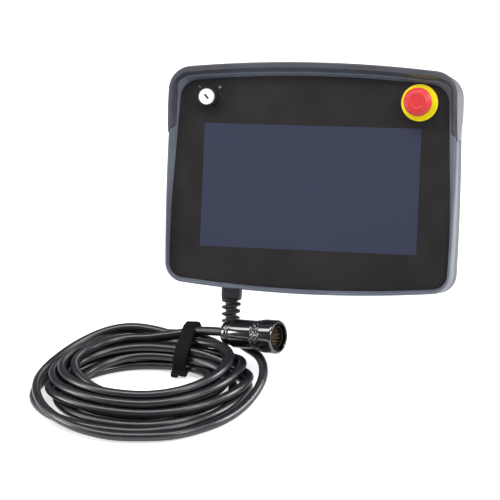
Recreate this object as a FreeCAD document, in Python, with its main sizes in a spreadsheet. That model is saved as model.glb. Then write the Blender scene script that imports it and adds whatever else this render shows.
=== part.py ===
"""Handheld operator panel with a ten inch touch display, in millimetres.

A moulded front bezel and a tapered rear housing close on a gasket round the display, its
mounting plate and the main board. The front carries an emergency stop and a key switch, the
rear an enabling switch and four threaded inserts. A cable leaves the lower edge through a
gland and a ribbed bend relief, lies in a tied coil and ends in a circular connector.

+Z is up and the screen faces -Y, leaning back. The origin is the middle of the four rear
inserts, on the rear face. A depth is measured forward from that face, along the panel.
"""
import FreeCAD
import Part

import math
import os
from types import SimpleNamespace

import Sketcher

SIZES = {
    # stance of the panel
    "lean_angle": 22,
    # front outline: crown, base and sides are wide arcs, joined by corner arcs; it leaves
    # margins round the display, and the crown clears the emergency stop's ring
    "side_margin": 30.2,
    "base_margin": 33.9,
    "legend_gap": 0.13,
    "widest_drop": 44.8,
    "crown_radius": 1260,
    "base_radius": 1300,
    "side_radius": 2640,
    "top_corner_radius": 25,
    "bottom_corner_radius": 20,
    # front bezel
    "panel_depth": 55,
    "parting_depth": 38,
    "rim_width": 5,
    "rim_bevel": 2,
    "rim_recess": 1.5,
    "bezel_wall": 3.2,
    "front_plate": 2.5,
    "fit_gap": 0.2,
    "cut_spare": 1,
    # hood over the upper edge
    "hood_rise": 9.2,
    "hood_overhang": 4.2,
    "hood_shoulder_drop": 29.5,
    "hood_foot_drop": 65.3,
    "hood_foot": 2.4,
    "hood_setback": 2,
    "hood_bevel": 2.2,
    "hood_back_bevel": 1.5,
    "hood_gap": 0.05,
    # rear housing
    "gasket_thickness": 1,
    "gasket_width": 2,
    "gasket_inset": 0.6,
    "taper_depth": 18,
    "rear_inset": 14,
    "rear_bevel": 2,
    "housing_wall": 3,
    "rear_wall": 2.8,
    # screws that close the housing: beside the display, and along the crown and the base
    "fixing_gap": 8,
    "side_screw_top_inset": 55.5,
    "side_screw_base_inset": 28.7,
    "edge_screw_x": 45,
    "edge_screw_top_inset": 23.5,
    "edge_screw_base_inset": 23.7,
    "screw_diameter": 3,
    "screw_head_diameter": 5.6,
    "screw_head_height": 2.4,
    "screw_reach": 8,
    "plate_screw_reach": 5,
    "screw_gap": 0.2,
    "post_diameter": 10,
    "boss_diameter": 8,
    "head_pocket_depth": 6,
    # rear mount
    "mount_spacing": 75,
    "insert_diameter": 7,
    "insert_bore": 4,
    "insert_length": 8,
    "insert_boss_diameter": 12,
    "insert_boss_height": 9,
    # display
    "screen_width": 222.72,
    "screen_height": 125.28,
    "screen_drop": 9.8,
    "window_margin": 2.6,
    "overlay_thickness": 0.8,
    "touch_thickness": 1.8,
    "touch_gap": 0.4,
    "lens_gap": 0.05,
    "display_gasket_width": 1.6,
    "lcd_width": 236,
    "lcd_height": 146,
    "lcd_thickness": 7,
    # mounting plate behind the display
    "sheet_thickness": 1.2,
    "plate_overhang": 0.5,
    "ear_top": 22,
    "ear_bottom": 52,
    "ear_width": 22,
    "ear_height": 12,
    "ribbon_slot_width": 64,
    "ribbon_slot_height": 9,
    "ribbon_slot_inset": 14.8,
    # main board
    "standoff_length": 6,
    "standoff_diameter": 5,
    "board_width": 150,
    "board_height": 92,
    "board_thickness": 1.6,
    "board_drop": 8,
    "board_hole_inset": 5,
    "chip_side": 20,
    "chip_height": 1.6,
    "memory_width": 13,
    "memory_height": 9,
    "memory_spread": 24,
    "memory_x": 36,
    "header_width": 30,
    "header_height": 8,
    "header_depth": 9,
    "header_x": 50,
    "header_inset": 8,
    "sink_side": 42,
    "sink_base": 2,
    "sink_height": 8,
    "fin_width": 1.8,
    "fin_pitch": 5,
    # emergency stop
    "device_hole": 16.3,
    "device_barrel": 16,
    "device_block_depth": 36,
    "device_block_side": 24,
    "nut_flats": 20,
    "nut_height": 4,
    "nut_gap": 0.05,
    "estop_inset": 39.7,
    "estop_rise": 15.2,
    "legend_diameter": 38.4,
    "legend_thickness": 1.6,
    "estop_neck_diameter": 20.4,
    "estop_neck_height": 6.4,
    "estop_head_diameter": 28.1,
    "estop_head_rise": 12.5,
    "estop_head_band": 1.6,
    "estop_dome": 2.6,
    "estop_disc_diameter": 18,
    "estop_skirt": 1,
    "estop_skirt_cover": 1.2,
    "estop_skirt_gap": 0.4,
    "estop_travel": 4.5,
    "estop_stop_gap": 0.5,
    "stem_diameter": 9.9,
    "stem_gap": 0.05,
    "stem_flange_diameter": 13.6,
    "stem_flange_height": 2,
    "stem_flange_gap": 0.3,
    "collar_step": 3.9,
    "stem_tail": 5.5,
    "contact_depth": 24,
    "spring_wire": 1.2,
    # key switch
    "key_inset": 40.7,
    "key_rise": 15.5,
    "key_collar_diameter": 19.5,
    "key_collar_height": 10,
    "key_face_diameter": 15.9,
    "key_face_height": 12,
    "key_face_gap": 0.35,
    "key_shaft_diameter": 11,
    "key_slot_length": 6,
    "key_slot_width": 1.5,
    "key_slot_depth": 9,
    "key_slot_angle": 135,
    "cam_diameter": 9,
    "cam_length": 5.5,
    "cam_lobe": 5.4,
    "cam_lobe_width": 4,
    "cam_gap": 1,
    "key_block_depth": 22,
    # enabling switch on the rear
    "enable_inset": 36.2,
    "enable_drop": 10,
    "enable_width": 20,
    "enable_height": 40,
    "enable_block_depth": 20,
    "enable_flange": 3,
    "enable_flange_height": 2,
    "enable_wall": 1.5,
    "enable_well_spare": 4,
    "button_gap": 0.3,
    "button_rise": 5,
    "button_foot": 4,
    "button_bevel": 2.2,
    "enable_travel": 4,
    # cable gland and bend relief
    "gland_x": 85,
    "gland_depth": 13,
    "gland_seat_rise": 1.9,
    "gland_width": 21.7,
    "gland_thickness": 18,
    "gland_length": 13,
    "gland_chamfer": 1.5,
    "gland_boss_width": 27,
    "gland_boss_thickness": 22,
    "gland_boss_height": 10,
    "cable_hole": 10,
    "relief_length": 25.3,
    "relief_root_diameter": 18.4,
    "relief_taper": 4.5,
    "relief_rib": 3.2,
    "relief_groove": 3,
    "relief_groove_depth": 2.6,
    # cable, lying on the floor below the panel
    "cable_diameter": 9.2,
    "floor_drop": 180,
    # tied coil: its turns lean back as they pile up
    "coil_height": 32,
    "coil_foot_x": 157,
    "coil_top_x": 155,
    "coil_foot_y": 172,
    "coil_foot_major": 125,
    "coil_foot_minor": 90,
    "coil_top_y": 136,
    "coil_top_shrink": 0.85,
    "coil_hole_x": 152,
    "coil_hole_foot_y": 165,
    "coil_hole_top_y": 138,
    "coil_hole_major": 57,
    "coil_hole_minor": 48,
    # tie
    "tie_x": 130,
    "tie_width": 15,
    "tie_thickness": 2.2,
    "tie_radius": 16.5,
    "tie_low_y": 100,
    "tie_low_rise": 16.7,
    "tie_high_y": 76,
    "tie_high_rise": 28.2,
    # circular connector
    "plug_x": 86.8,
    "plug_y": 91.5,
    "plug_drop": 136,
    "plug_turn": 72.1,
    "plug_rise": 6.5,
    "plug_length": 66.5,
    "plug_nut_length": 13,
    "plug_nut_diameter": 22.4,
    "plug_nut_slope": 4,
    "plug_barrel_diameter": 24.6,
    "plug_barrel_end": 40,
    "plug_sleeve_diameter": 21.6,
    "plug_sleeve_wall": 1.3,
    "plug_sleeve_setback": 2,
    "ring_gap": 0.3,
    "ring_band_diameter": 29,
    "ring_band_length": 11,
    "ring_diameter": 34.2,
    "ring_mouth_diameter": 28.4,
    "insert_setback": 9,
    "insert_depth": 14,
    "pin_diameter": 1.1,
    "pin_reach": 4.5,
    "pin_inner_radius": 2.1,
    "pin_middle_radius": 5.1,
    "pin_outer_radius": 7.9,
}

COIL_SIDES = 12
RIB_SIDES = 12
TUBE_SIDES = 6
# share of a cable's shorter run that a bend takes up
BEND_SHARE = 0.45
# straight stretches of cable where it leaves the bend relief and the connector
LEAD_EXIT_RUN = 11
TAIL_EXIT_RUN = 20
HEXAGON_SPREAD = 1 / math.cos(math.pi / 6)
# how near an edge lies to a level to count as lying on it
NEAR = 0.01
PIN_COUNTS = (("pin_inner_radius", 5), ("pin_middle_radius", 9), ("pin_outer_radius", 12))


class Size:
    """A number with the sheet expression that it comes from, so that one sum gives both."""

    def __init__(self, number, text=None):
        self.number = float(number)
        self.text = repr(float(number)) if text is None else text

    def __add__(self, other):
        other = sized(other)
        return Size(self.number + other.number, f"({self.text} + {other.text})")

    def __sub__(self, other):
        other = sized(other)
        return Size(self.number - other.number, f"({self.text} - {other.text})")

    def __mul__(self, other):
        other = sized(other)
        return Size(self.number * other.number, f"({self.text} * {other.text})")

    def __truediv__(self, other):
        other = sized(other)
        return Size(self.number / other.number, f"({self.text} / {other.text})")

    def __neg__(self):
        return Size(-self.number, f"(0 - {self.text})")

    def __radd__(self, other):
        return sized(other) + self

    def __rsub__(self, other):
        return sized(other) - self

    def __rmul__(self, other):
        return sized(other) * self


def sized(value):
    """The value as a Size, whether it is one already or a plain number."""
    return value if isinstance(value, Size) else Size(value)


def sine(angle):
    return Size(math.sin(math.radians(angle.number)), f"sin({angle.text})")


def cosine(angle):
    return Size(math.cos(math.radians(angle.number)), f"cos({angle.text})")


def root(size):
    return Size(math.sqrt(size.number), f"sqrt({size.text})")


doc = FreeCAD.newDocument("operator_panel")
sheet = doc.addObject("Spreadsheet::Sheet", "sizes")
for row, (alias, number) in enumerate(SIZES.items(), start=1):
    sheet.set(f"A{row}", alias)
    sheet.set(f"B{row}", str(number))
    sheet.setAlias(f"B{row}", alias)
doc.recompute()
dim = SimpleNamespace(**{alias: Size(sheet.get(alias), f"sizes.{alias}") for alias in SIZES})
pieces = []
waiting = {}

# depths of the main faces, forward from the rear face
OVERLAY_FRONT = dim.panel_depth - dim.rim_recess
OVERLAY_BACK = OVERLAY_FRONT - dim.overlay_thickness
PLATE_BACK = OVERLAY_BACK - dim.front_plate
LCD_BACK = PLATE_BACK - dim.lcd_thickness
SHEET_BACK = LCD_BACK - dim.sheet_thickness
BOARD_FRONT = SHEET_BACK - dim.standoff_length
BOARD_BACK = BOARD_FRONT - dim.board_thickness
HOUSING_FRONT = dim.parting_depth - dim.gasket_thickness
LEGEND_TOP = OVERLAY_FRONT + dim.legend_thickness

# the casing's reach and the places on it, round the display
LCD_TOP = dim.lcd_height / 2 - dim.screen_drop
LCD_FOOT = dim.lcd_height / 2 + dim.screen_drop
BEZEL_HALF_WIDTH = dim.lcd_width / 2 + dim.side_margin
ESTOP_X = BEZEL_HALF_WIDTH - dim.estop_inset
ESTOP_HEIGHT = LCD_TOP + dim.estop_rise
RING_REACH = dim.crown_radius - dim.rim_width - dim.legend_gap - dim.legend_diameter / 2
CROWN_HEIGHT = ESTOP_HEIGHT + dim.crown_radius - root(RING_REACH * RING_REACH - ESTOP_X * ESTOP_X)
BASE_DROP = LCD_FOOT + dim.base_margin
HOOD_FOOT_HEIGHT = CROWN_HEIGHT - dim.hood_foot_drop
FIXING_X = dim.lcd_width / 2 + dim.fixing_gap
GLAND_SEAT = BASE_DROP - dim.gland_seat_rise


def bind(thing, name, size):
    """Tie one property to the sheet."""
    thing.setExpression(name, sized(size).text)


def register(piece, label):
    """Keep a finished piece for export under its own name."""
    piece.Label = label
    pieces.append(piece)
    return piece


def new_body(label):
    return register(doc.addObject("PartDesign::Body", label), label)


def lean(piece, x=0, height=0):
    """Stand a piece in the leaning panel, at a place given along the panel's own face."""
    angle = dim.lean_angle
    tilt = FreeCAD.Rotation(FreeCAD.Vector(1, 0, 0), -angle.number)
    piece.Placement = FreeCAD.Placement(FreeCAD.Vector(), tilt)
    bind(piece, "Placement.Rotation.Angle", -angle)
    bind(piece, "Placement.Base.x", x)
    bind(piece, "Placement.Base.y", sized(height) * sine(angle))
    bind(piece, "Placement.Base.z", sized(height) * cosine(angle))
    return piece


def aim(piece):
    """Point a piece along the connector, whose own front is the piece's -Y."""
    turning = FreeCAD.Rotation(FreeCAD.Vector(0, 0, 1), dim.plug_turn.number)
    tilt = FreeCAD.Rotation(FreeCAD.Vector(1, 0, 0), -dim.plug_rise.number)
    place = FreeCAD.Vector(-dim.plug_x.number, -dim.plug_y.number, -dim.plug_drop.number)
    piece.Placement = FreeCAD.Placement(place, turning.multiply(tilt))
    return piece


def new_sketch(body, name, plane, level=0):
    """A sketch on one of the body's own planes; on XZ a level is a depth, forward of the rear."""
    sketch = body.newObject("Sketcher::SketchObject", name)
    base = [feature for feature in body.Origin.OriginFeatures if feature.Role == plane][0]
    sketch.AttachmentSupport = (base, [""])
    sketch.MapMode = "FlatFace"
    bind(sketch, "AttachmentOffset.Base.z", level)
    return sketch


def hold(sketch, size, kind, *where):
    """Note one dimension of a sketch, which settle ties to the sheet."""
    waiting.setdefault(sketch.Name, []).append((Sketcher.Constraint(kind, *where, size.number), size))


def link(sketch, kind, *where):
    """Note one joint between a sketch's curves."""
    waiting.setdefault(sketch.Name, []).append((Sketcher.Constraint(kind, *where), None))


def settle(sketch):
    """Give a sketch all its noted constraints at once, which is far quicker than one by one."""
    noted = waiting.pop(sketch.Name)
    sketch.addConstraint([constraint for constraint, size in noted])
    for index, (constraint, size) in enumerate(noted):
        if size is not None:
            bind(sketch, f"Constraints[{index}]", size)


def pin_point(sketch, curve, point, place):
    """Fix a curve's point at a place measured from the sketch's origin."""
    hold(sketch, sized(place[0]), "DistanceX", -1, 1, curve, point)
    hold(sketch, sized(place[1]), "DistanceY", -1, 1, curve, point)


def flat(place):
    return FreeCAD.Vector(sized(place[0]).number, sized(place[1]).number, 0)


def arc_between(centre, radius, start, end):
    """Counter-clockwise arc about a centre, from one point to another."""
    first = math.atan2(start.y - centre.y, start.x - centre.x)
    last = math.atan2(end.y - centre.y, end.x - centre.x)
    if last < first:
        last += 2 * math.pi
    circle = Part.Circle(centre, FreeCAD.Vector(0, 0, 1), radius)
    return Part.ArcOfCircle(circle, first, last)


def add_circle(sketch, place, diameter):
    diameter = sized(diameter)
    circle = Part.Circle(flat(place), FreeCAD.Vector(0, 0, 1), diameter.number / 2)
    curve = sketch.addGeometry(circle, False)
    pin_point(sketch, curve, 3, place)
    hold(sketch, diameter, "Diameter", curve)


def add_polygon(sketch, places):
    """Closed polygon with every corner tied to the sheet."""
    first = sketch.GeometryCount
    count = len(places)
    for index, place in enumerate(places):
        following = places[(index + 1) % count]
        sketch.addGeometry(Part.LineSegment(flat(place), flat(following)), False)
    for index in range(count):
        link(sketch, "Coincident", first + index, 2, first + (index + 1) % count, 1)
    for index, place in enumerate(places):
        pin_point(sketch, first + index, 1, place)


def add_rectangle(sketch, centre, width, height):
    reach_x = sized(width) / 2
    reach_y = sized(height) / 2
    add_polygon(sketch, [
        (centre[0] + reach_x * side, centre[1] + reach_y * level)
        for side, level in ((1, 1), (-1, 1), (-1, -1), (1, -1))
    ])


def add_even_polygon(sketch, place, diameter, sides=8):
    """Regular polygon, for screws, posts, pins and nuts; the diameter is across its corners."""
    angles = [2 * math.pi * step / sides for step in range(sides)]
    reach = sized(diameter) / 2
    add_polygon(sketch, [
        (place[0] + reach * math.cos(angle), place[1] + reach * math.sin(angle))
        for angle in angles
    ])


def corner_centre(centre_a, reach_a, centre_b, reach_b, towards):
    """Where two circles cross, on the side that a direction points to."""
    across = centre_b - centre_a
    gap = across.Length
    along = (reach_a ** 2 - reach_b ** 2 + gap ** 2) / (2 * gap)
    rise = math.sqrt(reach_a ** 2 - along ** 2)
    across.normalize()
    normal = FreeCAD.Vector(-across.y, across.x, 0)
    found = [centre_a + across * along + normal * (rise * side) for side in (1, -1)]
    return max(found, key=lambda point: point.dot(towards))


def add_outline(sketch, inset):
    """The panel's outline moved in by an inset: sides, crown and base joined by corner arcs."""
    inset = sized(inset)
    side_x = BEZEL_HALF_WIDTH - dim.side_radius
    crown_y = CROWN_HEIGHT - dim.crown_radius
    base_y = dim.base_radius - BASE_DROP
    wide = [
        ((side_x, -dim.widest_drop), dim.side_radius),
        ((sized(0), crown_y), dim.crown_radius),
        ((-side_x, -dim.widest_drop), dim.side_radius),
        ((sized(0), base_y), dim.base_radius),
    ]
    bends = [dim.top_corner_radius] * 2 + [dim.bottom_corner_radius] * 2
    ways = ((1, 1), (-1, 1), (-1, -1), (1, -1))
    corners = []
    for index, (bend, way) in enumerate(zip(bends, ways)):
        place_a, radius_a = wide[index]
        place_b, radius_b = wide[(index + 1) % 4]
        reach_a = radius_a.number - bend.number
        reach_b = radius_b.number - bend.number
        towards = FreeCAD.Vector(*way, 0)
        corners.append(corner_centre(flat(place_a), reach_a, flat(place_b), reach_b, towards))

    def joint(wide_index, corner_index):
        place, radius = wide[wide_index]
        outward = corners[corner_index] - flat(place)
        return flat(place) + outward.normalize() * (radius - inset).number

    for index in range(4):
        place, radius = wide[index]
        enter = joint(index, (index - 1) % 4)
        leave = joint(index, index)
        sketch.addGeometry(arc_between(flat(place), (radius - inset).number, enter, leave), False)
        bend = (bends[index] - inset).number
        onward = joint((index + 1) % 4, index)
        sketch.addGeometry(arc_between(corners[index], bend, leave, onward), False)
    for curve in range(8):
        link(sketch, "Tangent", curve, 2, (curve + 1) % 8, 1)
    for index in range(4):
        place, radius = wide[index]
        pin_point(sketch, 2 * index, 3, place)
        hold(sketch, radius - inset, "Radius", 2 * index)
        hold(sketch, bends[index] - inset, "Radius", 2 * index + 1)


def outline_sketch(body, name, level, inset):
    sketch = new_sketch(body, name, "XZ_Plane", level)
    add_outline(sketch, inset)
    return sketch


def pad(body, sketch, length, backward=False):
    """Grow a sketch into a solid, along its normal or against it."""
    settle(sketch)
    feature = body.newObject("PartDesign::Pad", sketch.Name + "_pad")
    feature.Profile = sketch
    feature.Reversed = backward
    bind(feature, "Length", length)
    doc.recompute()
    return feature


def pocket(body, sketch, depth, forward=False):
    """Cut a sketch out of the body, against its normal or along it."""
    settle(sketch)
    before = body.Tip.Shape.Volume
    feature = body.newObject("PartDesign::Pocket", sketch.Name + "_cut")
    feature.Profile = sketch
    feature.Reversed = forward
    bind(feature, "Length", depth)
    doc.recompute()
    if not feature.Shape.Volume < before:
        raise RuntimeError(feature.Name + " cuts nothing")
    return feature


def loft(body, name, kind, sketches):
    """Straight-sided loft through two outlines, added or cut."""
    for sketch in sketches:
        settle(sketch)
    feature = body.newObject("PartDesign::" + kind, name)
    feature.Profile = sketches[0]
    feature.Sections = sketches[1:]
    feature.Ruled = True
    doc.recompute()
    return feature


def bevel(body, name, size, wanted):
    """Chamfer those edges of the body that a test picks."""
    base = body.Tip
    names = [f"Edge{index}" for index, edge in enumerate(base.Shape.Edges, 1) if wanted(edge)]
    if not names:
        raise RuntimeError(name + " finds no edge")
    feature = body.newObject("PartDesign::Chamfer", name)
    feature.Base = (base, names)
    bind(feature, "Size", size)
    doc.recompute()
    return feature


def at_depth(depth):
    """Test for edges that lie whole at one depth."""
    level = -sized(depth).number
    return lambda edge: max(abs(edge.BoundBox.YMin - level), abs(edge.BoundBox.YMax - level)) < NEAR


def at_height(height):
    """Test for edges that lie whole at one height."""
    level = sized(height).number
    return lambda edge: max(abs(edge.BoundBox.ZMin - level), abs(edge.BoundBox.ZMax - level)) < NEAR


def turn(body, sketch):
    """Turn a profile once round its own upright axis."""
    settle(sketch)
    feature = body.newObject("PartDesign::Revolution", sketch.Name + "_turn")
    feature.Profile = sketch
    feature.ReferenceAxis = (sketch, ["V_Axis"])
    feature.Angle = 360
    doc.recompute()
    return body


def turned(label, profile):
    """Body turned about the depth axis from (radius, depth) corners."""
    body = new_body(label)
    sketch = new_sketch(body, label + "_profile", "XY_Plane")
    add_polygon(sketch, [(radius, -sized(depth)) for radius, depth in profile])
    return turn(body, sketch)


def slab(label, centre, width, height, level, thickness):
    """Flat body, from a depth forward."""
    body = new_body(label)
    sketch = new_sketch(body, label + "_outline", "XZ_Plane", level)
    add_rectangle(sketch, centre, width, height)
    pad(body, sketch, thickness)
    return body


def group_pad(body, name, places, diameter, level, length, draw=add_circle):
    sketch = new_sketch(body, name, "XZ_Plane", level)
    for place in places:
        draw(sketch, place, diameter)
    return pad(body, sketch, length)


def group_cut(body, name, places, diameter, level, depth, forward=False, draw=add_circle):
    sketch = new_sketch(body, name, "XZ_Plane", level)
    for place in places:
        draw(sketch, place, diameter)
    return pocket(body, sketch, depth, forward)


def rectangle_cut(body, name, centre, width, height, level, depth, forward=False):
    sketch = new_sketch(body, name, "XZ_Plane", level)
    add_rectangle(sketch, centre, width, height)
    return pocket(body, sketch, depth, forward)


def mirrored_places(x, *heights):
    return [(x * side, height) for height in heights for side in (1, -1)]


SCREEN = (sized(0), -dim.screen_drop)
ESTOP = (ESTOP_X, ESTOP_HEIGHT)
KEY = (dim.key_inset - BEZEL_HALF_WIDTH, LCD_TOP + dim.key_rise)
SCREWS = (
    mirrored_places(FIXING_X, CROWN_HEIGHT - dim.side_screw_top_inset,
                    dim.side_screw_base_inset - BASE_DROP)
    + mirrored_places(dim.edge_screw_x, CROWN_HEIGHT - dim.edge_screw_top_inset,
                      dim.edge_screw_base_inset - BASE_DROP)
)
EARS = mirrored_places(FIXING_X, dim.ear_top, -dim.ear_bottom)
ENABLE = (dim.enable_inset - BEZEL_HALF_WIDTH, -dim.enable_drop)
INSERTS = mirrored_places(dim.mount_spacing / 2, dim.mount_spacing / 2, -(dim.mount_spacing / 2))


def front_bezel():
    """Moulded frame: round rim, recessed front plate, window, device holes and screw bosses."""
    body = new_body("front_bezel")
    rim = outline_sketch(body, "bezel_outline", dim.parting_depth, 0)
    pad(body, rim, dim.panel_depth - dim.parting_depth)
    bevel(body, "rim_chamfer", dim.rim_bevel, at_depth(dim.panel_depth))
    recess = outline_sketch(body, "overlay_recess", dim.panel_depth, dim.rim_width)
    pocket(body, recess, dim.panel_depth - OVERLAY_BACK)
    hollow = outline_sketch(body, "bezel_hollow", dim.parting_depth, dim.bezel_wall)
    pocket(body, hollow, PLATE_BACK - dim.parting_depth, forward=True)
    margin = dim.window_margin * 2
    rectangle_cut(body, "bezel_window", SCREEN, dim.screen_width + margin, dim.screen_height + margin,
                  OVERLAY_BACK, dim.front_plate)
    group_cut(body, "device_holes", [ESTOP, KEY], dim.device_hole, OVERLAY_BACK, dim.front_plate)
    group_pad(body, "screw_bosses", SCREWS, dim.boss_diameter, dim.parting_depth,
              PLATE_BACK - dim.parting_depth, draw=add_even_polygon)
    group_pad(body, "ear_bosses", EARS, dim.boss_diameter, LCD_BACK, dim.lcd_thickness,
              draw=add_even_polygon)
    pilot = dim.screw_diameter + dim.screw_gap
    group_cut(body, "screw_pilots", SCREWS, pilot, dim.parting_depth, dim.screw_reach + dim.screw_gap,
              forward=True, draw=add_even_polygon)
    group_cut(body, "ear_pilots", EARS, pilot, LCD_BACK, dim.plate_screw_reach + dim.screw_gap,
              forward=True, draw=add_even_polygon)
    return lean(body)


def hood():
    """Raised cap over the upper edge, thinning down both sides to a foot."""
    body = new_body("hood")
    sketch = new_sketch(body, "hood_outline", "XZ_Plane", dim.taper_depth)
    below = HOOD_FOOT_HEIGHT + dim.widest_drop
    side_bulge = dim.side_radius - root(dim.side_radius * dim.side_radius - below * below)
    foot = (BEZEL_HALF_WIDTH - side_bulge + dim.hood_foot, HOOD_FOOT_HEIGHT)
    shoulder = (BEZEL_HALF_WIDTH + dim.hood_overhang, CROWN_HEIGHT - dim.hood_shoulder_drop)
    crown = (sized(0), CROWN_HEIGHT - dim.crown_radius)
    reach = dim.crown_radius + dim.hood_rise
    leg = (flat(shoulder) - flat(foot)).normalize()
    inward = FreeCAD.Vector(-leg.y, leg.x, 0)
    offset = flat(shoulder) - flat(crown)
    bend = (reach.number ** 2 - offset.dot(offset)) / (2 * (offset.dot(inward) + reach.number))
    right = flat(shoulder) + inward * bend
    top = flat(crown) + (right - flat(crown)).normalize() * reach.number

    def mirror(point):
        return FreeCAD.Vector(-point.x, point.y, 0)

    sketch.addGeometry([
        Part.LineSegment(flat(foot), flat(shoulder)),
        arc_between(right, bend, flat(shoulder), top),
        arc_between(flat(crown), reach.number, top, mirror(top)),
        arc_between(mirror(right), bend, mirror(top), mirror(flat(shoulder))),
        Part.LineSegment(mirror(flat(shoulder)), mirror(flat(foot))),
        Part.LineSegment(mirror(flat(foot)), flat(foot)),
    ], False)
    for curve in range(4):
        link(sketch, "Tangent", curve, 2, curve + 1, 1)
    link(sketch, "Coincident", 4, 2, 5, 1)
    link(sketch, "Coincident", 5, 2, 0, 1)
    pin_point(sketch, 0, 1, foot)
    pin_point(sketch, 0, 2, shoulder)
    pin_point(sketch, 4, 1, (-shoulder[0], shoulder[1]))
    pin_point(sketch, 4, 2, (-foot[0], foot[1]))
    pin_point(sketch, 2, 3, crown)
    hold(sketch, reach, "Radius", 2)
    front = dim.panel_depth - dim.hood_setback
    pad(body, sketch, front - dim.taper_depth)
    foot_level = HOOD_FOOT_HEIGHT.number

    def outer(depth):
        level = at_depth(depth)
        return lambda edge: level(edge) and edge.BoundBox.ZMax > foot_level + NEAR

    bevel(body, "hood_front_chamfer", dim.hood_bevel, outer(front))
    bevel(body, "hood_back_chamfer", dim.hood_back_bevel, outer(dim.taper_depth))
    hollow = outline_sketch(body, "hood_hollow", dim.taper_depth - dim.cut_spare, -dim.hood_gap)
    pocket(body, hollow, front - dim.taper_depth + dim.cut_spare * 2, forward=True)
    return lean(body)


def front_overlay():
    """Printed black front sheet, with its window and two device holes."""
    body = new_body("front_overlay")
    pad(body, outline_sketch(body, "overlay_outline", OVERLAY_BACK, dim.rim_width + dim.fit_gap),
        dim.overlay_thickness)
    rectangle_cut(body, "overlay_window", SCREEN, dim.screen_width, dim.screen_height,
                  OVERLAY_FRONT, dim.overlay_thickness)
    group_cut(body, "overlay_holes", [ESTOP, KEY], dim.device_hole, OVERLAY_FRONT, dim.overlay_thickness)
    return lean(body)


def touch_panel():
    """Touch glass behind the overlay, with a lens that stands in the overlay's window."""
    margin = (dim.window_margin - dim.touch_gap) * 2
    body = slab("touch_panel", SCREEN, dim.screen_width + margin, dim.screen_height + margin,
                OVERLAY_BACK - dim.touch_thickness, dim.touch_thickness)
    lens = new_sketch(body, "lens_outline", "XZ_Plane", OVERLAY_BACK)
    gap = dim.lens_gap * 2
    add_rectangle(lens, SCREEN, dim.screen_width - gap, dim.screen_height - gap)
    pad(body, lens, dim.overlay_thickness - dim.lens_gap)
    return lean(body)


def display_gasket():
    """Foam frame between the touch glass and the display."""
    width = dim.screen_width + dim.window_margin
    height = dim.screen_height + dim.window_margin
    thickness = dim.front_plate - dim.touch_thickness
    body = slab("display_gasket", SCREEN, width, height, PLATE_BACK, thickness)
    band = dim.display_gasket_width * 2
    rectangle_cut(body, "gasket_window", SCREEN, width - band, height - band,
                  PLATE_BACK + thickness, thickness)
    return lean(body)


def lcd_module():
    body = slab("lcd_module", SCREEN, dim.lcd_width, dim.lcd_height, LCD_BACK, dim.lcd_thickness)
    return lean(body)


def mounting_plate():
    """Sheet that clamps the display to the bezel by four ears and carries the main board."""
    spare = dim.plate_overhang * 2
    body = slab("mounting_plate", SCREEN, dim.lcd_width + spare, dim.lcd_height + spare,
                SHEET_BACK, dim.sheet_thickness)
    ears = new_sketch(body, "ears", "XZ_Plane", SHEET_BACK)
    for place in EARS:
        add_rectangle(ears, place, dim.ear_width, dim.ear_height)
    pad(body, ears, dim.sheet_thickness)
    group_cut(body, "ear_holes", EARS, dim.screw_diameter + dim.screw_gap, LCD_BACK, dim.sheet_thickness,
              draw=add_even_polygon)
    rectangle_cut(body, "ribbon_slot", (sized(0), dim.ribbon_slot_inset - LCD_FOOT), dim.ribbon_slot_width,
                  dim.ribbon_slot_height, LCD_BACK, dim.sheet_thickness)
    return lean(body)


def screw_group(label, places, seat, tip):
    """Screws with heads behind their seat and shanks forward to the tip."""
    body = new_body(label)
    group_pad(body, label + "_heads", places, dim.screw_head_diameter, seat - dim.screw_head_height,
              dim.screw_head_height, draw=add_even_polygon)
    group_pad(body, label + "_shanks", places, dim.screw_diameter, seat, tip - seat, draw=add_even_polygon)
    return lean(body)


def board_places():
    half_x = dim.board_width / 2 - dim.board_hole_inset
    half_y = dim.board_height / 2 - dim.board_hole_inset
    return mirrored_places(half_x, half_y - dim.board_drop, -half_y - dim.board_drop)


def board_standoffs():
    """Hexagon standoffs that join the main board to the mounting plate."""
    body = new_body("board_standoffs")
    sketch = new_sketch(body, "standoffs", "XZ_Plane", BOARD_FRONT)
    for place in board_places():
        add_even_polygon(sketch, place, dim.standoff_diameter, sides=6)
    pad(body, sketch, dim.standoff_length)
    return lean(body)


def main_board():
    body = slab("main_board", (sized(0), -dim.board_drop), dim.board_width, dim.board_height,
                BOARD_BACK, dim.board_thickness)
    return lean(body)


def board_chips():
    """Processor, two memory chips and the cable header, soldered to the board's rear side."""
    body = new_body("board_chips")
    level = BOARD_BACK - dim.chip_height
    chips = new_sketch(body, "chips", "XZ_Plane", level)
    add_rectangle(chips, (sized(0), -dim.board_drop), dim.chip_side, dim.chip_side)
    for side in (1, -1):
        place = (dim.memory_x, dim.memory_spread / 2 * side - dim.board_drop)
        add_rectangle(chips, place, dim.memory_width, dim.memory_height)
    pad(body, chips, dim.chip_height)
    header = new_sketch(body, "header", "XZ_Plane", BOARD_BACK - dim.header_depth)
    place = (-dim.header_x, -dim.board_drop - dim.board_height / 2 + dim.header_inset)
    add_rectangle(header, place, dim.header_width, dim.header_height)
    pad(body, header, dim.header_depth)
    return lean(body)


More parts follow.
